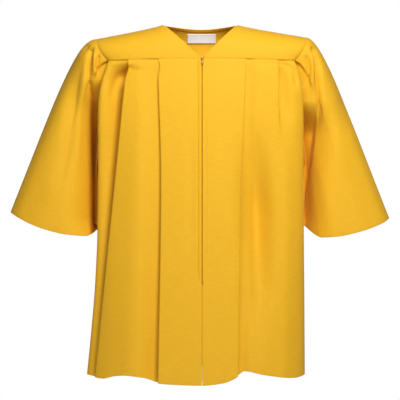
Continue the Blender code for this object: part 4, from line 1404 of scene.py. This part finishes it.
class GownProperties(bpy.types.PropertyGroup):
    """Colours and cloth of the gown"""

    gown_colour: FloatVectorProperty(
        name="Gown colour",
        description="Colour of the gold polyester",
        subtype="COLOR",
        size=3,
        min=0,
        max=1,
        default=(0.82, 0.437, 0.011),
    )
    label_colour: FloatVectorProperty(
        name="Label colour",
        description="Colour of the bare neck label",
        subtype="COLOR",
        size=3,
        min=0,
        max=1,
        default=(0.9, 0.9, 0.9),
    )
    tape_colour: FloatVectorProperty(
        name="Zip tape colour",
        description="Colour of the zip's woven tapes",
        subtype="COLOR",
        size=3,
        min=0,
        max=1,
        default=(0.72, 0.36, 0.01),
    )
    coil_colour: FloatVectorProperty(
        name="Zip coil colour",
        description="Colour of the zip's nylon coil",
        subtype="COLOR",
        size=3,
        min=0,
        max=1,
        default=(0.66, 0.31, 0.01),
    )
    metal_colour: FloatVectorProperty(
        name="Slider colour",
        description="Colour of the slider's lacquer",
        subtype="COLOR",
        size=3,
        min=0,
        max=1,
        default=(0.6, 0.3, 0.02),
    )
    # The pull tab's own lacquer colour, made darker as painted shade: the tab hangs in the shadowed gap
    # between the parted front edges
    tab_colour_painted_shade: FloatVectorProperty(
        name="Pull tab colour",
        description="Colour of the pull tab's rubbed metal",
        subtype="COLOR",
        size=3,
        min=0,
        max=1,
        default=(0.4, 0.22, 0.04),
    )
    cloth_thickness: FloatProperty(
        name="Cloth thickness",
        description="Thickness of one layer of cloth",
        unit="LENGTH",
        default=0.00035,
        min=0.0002,
        max=0.001,
    )
    slub_contrast: FloatProperty(
        name="Slub contrast",
        description="How much thick and thin threads differ in colour",
        default=0.045,
        min=0,
        max=0.3,
    )
    slub_relief: FloatProperty(
        name="Slub relief",
        description="How strongly the threads stand out",
        default=0.3,
        min=0,
        max=1,
    )


class GOWN_OT_fronts(bpy.types.Operator):
    """Make the two pleated fronts"""

    bl_idname = "gown.fronts"
    bl_label = "Fronts"

    def execute(self, context):
        for side in (LEFT, RIGHT):
            grid = front_points(side)
            outward = grid_normals(grid)
            hem = line_inside(grid[:, EDGE_COLUMNS:], outward[:, EDGE_COLUMNS:], HEM_SEWN)
            placket = placket_line(side, grid, outward)
            sew_piece(f"front_{side.name}_stitches", hem, placket)
            grid, outward = turn_last_column(grid, outward, ALLOWANCE, INWARD)
            grid, outward = turn_under(grid, outward, HEM_DEPTH, FLAT)
            made = gown_piece(f"front_{side.name}", grid, outward)
        return {"FINISHED"}


class GOWN_OT_back(bpy.types.Operator):
    """Make the pleated back"""

    bl_idname = "gown.back"
    bl_label = "Back"

    def execute(self, context):
        grid = back_points()
        outward = grid_normals(grid)
        sew_piece("back_stitches", line_inside(grid, outward, HEM_SEWN))
        grid, outward = turn_last_column(grid, outward, ALLOWANCE, INWARD)
        grid, outward = turn_first_column(grid, outward, ALLOWANCE, INWARD)
        grid, outward = turn_under(grid, outward, HEM_DEPTH, FLAT)
        made = gown_piece("back", grid, outward)
        return {"FINISHED"}


class GOWN_OT_yokes(bpy.types.Operator):
    """Make the front yokes and the back yoke"""

    bl_idname = "gown.yokes"
    bl_label = "Yokes"

    def execute(self, context):
        for side in (LEFT, RIGHT):
            grid = front_yoke_points(side)
            outward = grid_normals(grid)
            seam = line_inside(grid, outward, EDGE_SEWN)
            beside = slice(NECK_COLUMNS)
            neck = line_inside(grid[:, beside], outward[:, beside], NECK_SEWN, last=False)
            sew_piece(f"yoke_front_{side.name}_stitches", seam, neck)
            grid, outward = turn_last_column(grid, outward, ALLOWANCE, INWARD)
            grid, outward = turn_under(grid, outward, ALLOWANCE, FLAT)
            grid, outward = turn_first_row(grid, outward, FACING, FLAT)
            made = gown_piece(f"yoke_front_{side.name}", grid, outward)
        grid = back_yoke_points()
        outward = grid_normals(grid)
        middle = slice(grid.shape[1] // 2 - NECK_COLUMNS + 1, grid.shape[1] // 2 + NECK_COLUMNS)
        neck = line_inside(grid[:, middle], outward[:, middle], NECK_SEWN, last=False)
        sew_piece("yoke_back_stitches", line_inside(grid, outward, EDGE_SEWN), neck)
        grid, outward = turn_last_column(grid, outward, ALLOWANCE, INWARD)
        grid, outward = turn_first_column(grid, outward, ALLOWANCE, INWARD)
        grid, outward = turn_under(grid, outward, ALLOWANCE, FLAT)
        grid, outward = turn_first_row(grid, outward, ALLOWANCE, FLAT)
        made = gown_piece("yoke_back", grid, outward)
        return {"FINISHED"}


class GOWN_OT_sleeves(bpy.types.Operator):
    """Make the two bell sleeves"""

    bl_idname = "gown.sleeves"
    bl_label = "Sleeves"

    def execute(self, context):
        for side in (LEFT, RIGHT):
            grid = sleeve_points(side)
            outward = grid_normals(grid, True)
            sew_piece(f"sleeve_{side.name}_stitches", line_inside(grid, outward, HEM_SEWN))
            grid, outward = turn_under(grid, outward, HEM_DEPTH, FLAT)
            grid, outward = turn_first_row(grid, outward, ALLOWANCE, INWARD)
            made = gown_piece(f"sleeve_{side.name}", grid, outward, closed=True)
        return {"FINISHED"}


def gown_piece(node, grid, outward, closed=False):
    """A piece of the gown's fabric that stands for one node."""
    made = lay_grid(node + "_cloth", grid, outward, gown_fabric(), cloth_thickness(), closed)
    return finish_piece(made, "gown_fabric", GOWN_BODY, node)


def placket_line(side, grid, outward):
    """The sewn line beside the zip on one front, with its normals."""
    across = np.abs(grid[:, PLACKET_COLUMNS, 0])
    rows = [row for row in range(2, len(grid)) if grid[row, 0, 2] > ZIP_BOTTOM]
    place = PLACKET[side.name]
    return [
        np.array([points_at(place, across[row], values[row, PLACKET_COLUMNS]) for row in rows])
        for values in (grid, outward)
    ]


def label_points():
    """The label's middle surface, on the inner side of the back yoke."""
    columns = np.linspace(-LABEL_WIDTH / 2, LABEL_WIDTH / 2, LABEL_COLUMNS)
    heights = np.linspace(LABEL_TOP, LABEL_TOP - LABEL_HEIGHT, LABEL_ROWS)
    grid = np.empty((len(heights), len(columns), 3))
    for column, x in enumerate(columns):
        side = LEFT if x >= 0 else RIGHT
        curve = back_yoke(side, [abs(x)], np.linspace(0, 1, LABEL_CURVE_STEPS))[:, 0]
        y = np.interp(-heights, -curve[:, 2], curve[:, 1])
        slope = np.gradient(y, heights)
        size = np.hypot(1, slope)
        puff = LABEL_PUFF * np.sin(math.pi * (heights - LABEL_TOP) / -LABEL_HEIGHT)
        lift = LABEL_SET_IN + puff
        grid[:, column, 0] = x + LABEL_SHIFT
        grid[:, column, 1] = y - lift / size
        grid[:, column, 2] = heights + lift * slope / size
    return grid


class GOWN_OT_label(bpy.types.Operator):
    """Make the bare woven label and sew down its ends"""

    bl_idname = "gown.label"
    bl_label = "Neck label"

    def execute(self, context):
        grid = label_points()
        outward = grid_normals(grid)
        surface = find_surface("label weave", label_weave)
        made = lay_grid("label_cloth", grid, outward, surface, cloth_thickness())
        finish_piece(made, "label_weave", GOWN_BODY, "neck_label")
        work = bmesh.new()
        for column in (1, -2):
            sew(work, grid[:, column], -outward[:, column], LABEL_STITCH)
        stitches = finish_mesh("label_stitches", work, find_surface("sewing thread", thread))
        finish_piece(stitches, "label_weave", GOWN_BODY)
        return {"FINISHED"}


def front_face(height):
    """How far the front stands out at the centre, at each height."""
    return -body("front", np.asarray(height, float))


def rounded_block(work, low, high, edge, taper=1.0):
    """A block between two corners, narrower at its foot, with rounded edges."""
    low = Vector(low)
    high = Vector(high)
    middle = (low + high) / 2
    matrix = Matrix.Translation(middle) @ Matrix.Diagonal((*(high - low), 1))
    made = bmesh.ops.create_cube(work, size=1, matrix=matrix)["verts"]
    foot = [vertex for vertex in made if vertex.co.z < middle.z]
    bmesh.ops.scale(
        work, vec=(taper, 1, 1), verts=foot, space=Matrix.Translation((-middle.x, 0, 0))
    )
    edges = {line for vertex in made for line in vertex.link_edges}
    bmesh.ops.bevel(
        work, geom=list(edges), offset=edge, offset_type="OFFSET", affect="EDGES", segments=3,
        profile=0.5, material=-1,
    )


class GOWN_OT_zip(bpy.types.Operator):
    """Make the zip's tapes, coil, slider, pull tab and bar tack"""

    bl_idname = "gown.zip"
    bl_label = "Zip"

    def execute(self, context):
        self.make_tapes()
        self.make_coil()
        plate_low = SLIDER_TOP - SLIDER_LENGTH
        face = float(front_face(plate_low)) + ZIP_SET_BACK - COIL_WALL / 2 - ZIP_ROOM
        pin_y = face - SLIDER_PLATE - PIN_REACH
        pin_z = SLIDER_TOP - SLIDER_LENGTH / 2
        self.make_slider(plate_low, face, pin_y, pin_z)
        self.make_tab(pin_y, pin_z)
        self.make_tack()
        return {"FINISHED"}

    def make_tapes(self):
        """Hang a woven tape on each side of the coil."""
        heights = np.linspace(ZIP_TOP, ZIP_BOTTOM - TAPE_BELOW, TAPE_ROWS)
        depth = front_face(heights) + ZIP_SET_BACK
        gap = COIL_WIDTH / 2 + ZIP_ROOM
        for name, sign in (("left", 1), ("right", -1)):
            across = ZIP_X + sign * np.linspace(gap, gap + TAPE_WIDTH, TAPE_COLUMNS)
            grid = np.empty((len(heights), len(across), 3))
            grid[:, :, 0] = across[None, :]
            grid[:, :, 1] = depth[:, None]
            grid[:, :, 2] = heights[:, None]
            surface = find_surface("zip tape", tape_weave)
            made = lay_grid(
                f"zip_tape_{name}_weave", grid, grid_normals(grid), surface, TAPE_THICKNESS
            )
            finish_piece(made, "zip_tape", GOWN_BODY, f"zip_tape_{name}")

    def make_coil(self):
        """Lay the loops of the closed coil, in turn from the two tapes."""
        work = bmesh.new()
        batch = bmesh.new()
        places = np.arange(ZIP_TOP - COIL_END, ZIP_BOTTOM - TAPE_BELOW + COIL_END, -COIL_PITCH)
        loop = Matrix.Diagonal(
            (COIL_WIDTH / 2 - COIL_MARGIN, COIL_WALL / 2, COIL_PITCH * COIL_LOOP, 1)
        )
        for number, height in enumerate(places):
            shift = COIL_SHIFT if number % 2 else -COIL_SHIFT
            depth = float(front_face(height)) + ZIP_SET_BACK
            matrix = Matrix.Translation((ZIP_X + shift, depth, height)) @ loop
            bmesh.ops.create_uvsphere(batch, u_segments=8, v_segments=5, radius=1, matrix=matrix)
            if number % BATCH == BATCH - 1:
                batch = add_batch(work, batch)
        add_batch(work, batch).free()
        made = finish_mesh("zip_coil_loops", work, find_surface("zip coil", coil_plastic))
        finish_piece(made, "zip_coil", GOWN_BODY, "zip_coil")

    def make_slider(self, low, face, pin_y, pin_z):
        """Cast the slider: a plate on each side of the coil, and the pull's bridge."""
        work = bmesh.new()
        half = SLIDER_WIDTH / 2
        plate = face - SLIDER_PLATE
        behind = face + COIL_WALL + SLIDER_ROOM
        rounded_block(
            work, (ZIP_X - half, plate, low), (ZIP_X + half, face, SLIDER_TOP), SLIDER_EDGE,
            SLIDER_TAPER,
        )
        rounded_block(
            work, (ZIP_X - half, behind, low), (ZIP_X + half, behind + SLIDER_BACK, SLIDER_TOP),
            SLIDER_BACK_EDGE, SLIDER_TAPER,
        )
        rounded_block(
            work, (ZIP_X - POST_HALF, face - SLIDER_ROOM, SLIDER_TOP - POST_FOOT),
            (ZIP_X + POST_HALF, behind + SLIDER_ROOM, SLIDER_TOP - POST_TOP), POST_EDGE,
        )
        start = plate + SLIDER_ROOM
        reach = PIN_RADIUS + PIN_ROOM + BRIDGE_BAR / 2
        matrix = (
            Matrix.Translation((ZIP_X, start, pin_z + reach))
            @ Matrix.Rotation(math.pi / 2, 4, "X")
            @ Matrix.Diagonal((BRIDGE_WIDTH, BRIDGE_BAR, 1, 1))
        )
        bar = bmesh.ops.create_grid(work, x_segments=1, y_segments=1, size=0.5, matrix=matrix)
        shape = list({side for vertex in bar["verts"] for side in vertex.link_faces})
        shape = self.push(work, shape, (0, pin_y - start, 0))
        edges = {line for side in shape for line in side.edges}
        corners = {corner for side in shape for corner in side.verts}
        turned = bmesh.ops.spin(
            work, geom=shape + list(edges) + list(corners), cent=(ZIP_X, pin_y, pin_z),
            axis=(1, 0, 0), angle=math.pi, steps=BRIDGE_STEPS, use_duplicate=False,
        )
        ends = [item for item in turned["geom_last"] if isinstance(item, bmesh.types.BMFace)]
        self.push(work, ends, (0, start - pin_y, 0))
        bmesh.ops.remove_doubles(work, verts=work.verts[:], dist=1e-4)
        bmesh.ops.recalc_face_normals(work, faces=work.faces[:])
        colour = bpy.context.scene.gown.metal_colour
        surface = find_surface("slider lacquer", lacquered_metal, 0.1, colour)
        made = finish_mesh("zip_slider_cast", work, surface)
        finish_piece(made, "zip_metal", GOWN_BODY, "zip_slider")

    def push(self, work, shape, by):
        """Extrude faces and move them, and give the moved faces."""
        made = bmesh.ops.extrude_face_region(work, geom=shape)["geom"]
        corners = [item for item in made if isinstance(item, bmesh.types.BMVert)]
        bmesh.ops.translate(work, vec=by, verts=corners)
        return [item for item in made if isinstance(item, bmesh.types.BMFace)]

    def make_tab(self, pin_y, pin_z):
        """Cast the pull tab with its two arms and the pin that it swings on."""
        work = bmesh.new()
        half = TAB_WIDTH / 2
        wall = TAB_WALL / 2
        top = pin_z - TAB_NECK
        foot = pin_z - TAB_LENGTH
        rounded_block(
            work, (ZIP_X - half, pin_y - wall, foot), (ZIP_X + half, pin_y + wall, top), TAB_EDGE
        )
        inside = half - TAB_PANEL_IN
        raised_wall = wall + TAB_PANEL_LIFT
        rounded_block(
            work, (ZIP_X - inside, pin_y - raised_wall, foot + TAB_PANEL_FOOT),
            (ZIP_X + inside, pin_y + raised_wall, top - TAB_PANEL_TOP), TAB_PANEL_EDGE,
        )
        arm = PIN_RADIUS * ARM_WALL
        for inner in (-half, TAB_SLOT / 2):
            outer = inner + half - TAB_SLOT / 2
            rounded_block(
                work, (ZIP_X + inner, pin_y - arm, top - ARM_SET),
                (ZIP_X + outer, pin_y + arm, pin_z + PIN_RADIUS), ARM_EDGE,
            )
        turn = Matrix.Rotation(math.pi / 2, 4, "Y")
        bmesh.ops.create_cone(
            work, cap_ends=True, segments=16, radius1=PIN_RADIUS * PIN_SHARE,
            radius2=PIN_RADIUS * PIN_SHARE, depth=TAB_SLOT + PIN_SET,
            matrix=Matrix.Translation((ZIP_X, pin_y, pin_z)) @ turn,
        )
        # This colour carries painted shade, darker than the lacquer so the tab reads as the shadowed
        # gap it hangs in
        colour = bpy.context.scene.gown.tab_colour_painted_shade
        surface = find_surface("tab metal", lacquered_metal, 0.9, colour)
        made = finish_mesh("zip_pull_cast", work, surface)
        finish_piece(made, "zip_metal", TAB_BODY, "zip_pull")

    def make_tack(self):
        """Sew the bar tack that ends the zip's opening."""
        rows = []
        forward = np.array([[0.0, -1.0, 0.0], [0.0, -1.0, 0.0]])
        for height in np.arange(ZIP_BOTTOM + TACK_ABOVE, ZIP_BOTTOM - TACK_BELOW, -TACK_PITCH):
            y = float(front_face(height)) - TACK_LIFT
            line = np.array([[ZIP_X - TACK_RIGHT, y, height], [ZIP_X + TACK_LEFT, y, height]])
            rows.append((line, forward))
        sew_piece("zip_bar_tack", *rows)


def add_lamp(lamp, data):
    """Put a lamp in the scene, aimed at its target."""
    data.energy = lamp.power
    made = bpy.data.objects.new(lamp.name, data)
    made.location = lamp.place
    heading = Vector(lamp.target) - Vector(lamp.place)
    made.rotation_euler = heading.to_track_quat("-Z", "Y").to_euler()
    bpy.context.scene.collection.objects.link(made)
    return made


class GOWN_OT_stage(bpy.types.Operator):
    """Make the floor, the lights and the camera"""

    bl_idname = "gown.stage"
    bl_label = "Stage"

    def execute(self, context):
        self.make_floor()
        self.light_world(context.scene)
        for lamp in AREA_LAMPS:
            data = bpy.data.lights.new(lamp.name, "AREA")
            data.shape = "DISK"
            data.size = lamp.size
            add_lamp(lamp, data).visible_camera = False
        data = bpy.data.lights.new(NECK_LAMP.name, "SPOT")
        data.spot_size = math.radians(NECK_CONE)
        data.spot_blend = NECK_BLEND
        data.shadow_soft_size = NECK_LAMP.size
        add_lamp(NECK_LAMP, data)
        self.place_camera(context.scene)
        context.scene.view_settings.view_transform = "Standard"
        return {"FINISHED"}

    def make_floor(self):
        """Lay a pale round floor under the gown."""
        work = bmesh.new()
        bmesh.ops.create_circle(
            work, cap_ends=True, segments=FLOOR_SEGMENTS, radius=FLOOR_RADIUS,
            matrix=Matrix.Translation((0, 0, FLOOR_LEVEL)),
        )
        mesh = bpy.data.meshes.new("floor")
        work.to_mesh(mesh)
        work.free()
        pale, _, _, surface = new_surface("studio floor", roughness=0.9)
        surface.inputs["Base Color"].default_value = (FLOOR_GREY, FLOOR_GREY, FLOOR_GREY, 1)
        add_object("floor", mesh, pale)

    def light_world(self, scene):
        """Show white behind the gown, and light it more weakly from all round."""
        world = bpy.data.worlds.new("studio")
        scene.world = world
        world.use_nodes = True
        nodes = world.node_tree.nodes
        links = world.node_tree.links
        seen = nodes["Background"]
        lighting = nodes.new("ShaderNodeBackground")
        for ground, strength in ((seen, 1.0), (lighting, WORLD_LIGHT)):
            ground.inputs["Color"].default_value = (1, 1, 1, 1)
            ground.inputs["Strength"].default_value = strength
        rays = nodes.new("ShaderNodeLightPath")
        both = nodes.new("ShaderNodeMixShader")
        links.new(rays.outputs["Is Camera Ray"], both.inputs[0])
        links.new(lighting.outputs["Background"], both.inputs[1])
        links.new(seen.outputs["Background"], both.inputs[2])
        links.new(both.outputs["Shader"], nodes["World Output"].inputs["Surface"])

    def place_camera(self, scene):
        """Look at the gown from straight in front."""
        view = bpy.data.cameras.new("camera")
        view.sensor_width = CAMERA_SENSOR
        view.lens = CAMERA_LENS
        camera = bpy.data.objects.new("camera", view)
        camera.location = CAMERA_PLACE
        camera.rotation_euler = (math.pi / 2, 0, 0)
        scene.collection.objects.link(camera)
        scene.camera = camera


class GOWN_PT_pieces(bpy.types.Panel):
    """The gown's pieces, in the order they are made"""

    bl_label = "Graduation gown"
    bl_idname = "GOWN_PT_pieces"
    bl_space_type = "VIEW_3D"
    bl_region_type = "UI"
    bl_category = "Gown"

    def draw(self, context):
        props = context.scene.gown
        for name in props.bl_rna.properties.keys():
            if name not in ("rna_type", "name"):
                self.layout.prop(props, name)
        for operator in OPERATORS:
            self.layout.operator(operator.bl_idname)


OPERATORS = (
    GOWN_OT_fronts,
    GOWN_OT_back,
    GOWN_OT_yokes,
    GOWN_OT_sleeves,
    GOWN_OT_label,
    GOWN_OT_zip,
    GOWN_OT_stage,
)
CLASSES = (GownProperties, *OPERATORS, GOWN_PT_pieces)


def register():
    """Add the gown's classes and properties."""
    for item in CLASSES:
        bpy.utils.register_class(item)
    bpy.types.Scene.gown = PointerProperty(type=GownProperties)


def unregister():
    """Take them out again."""
    del bpy.types.Scene.gown
    for item in reversed(CLASSES):
        bpy.utils.unregister_class(item)


def main():
    """Make every piece."""
    register()
    for operator in OPERATORS:
        group, call = operator.bl_idname.split(".")
        getattr(getattr(bpy.ops, group), call)()


if __name__ == "__main__":
    main()
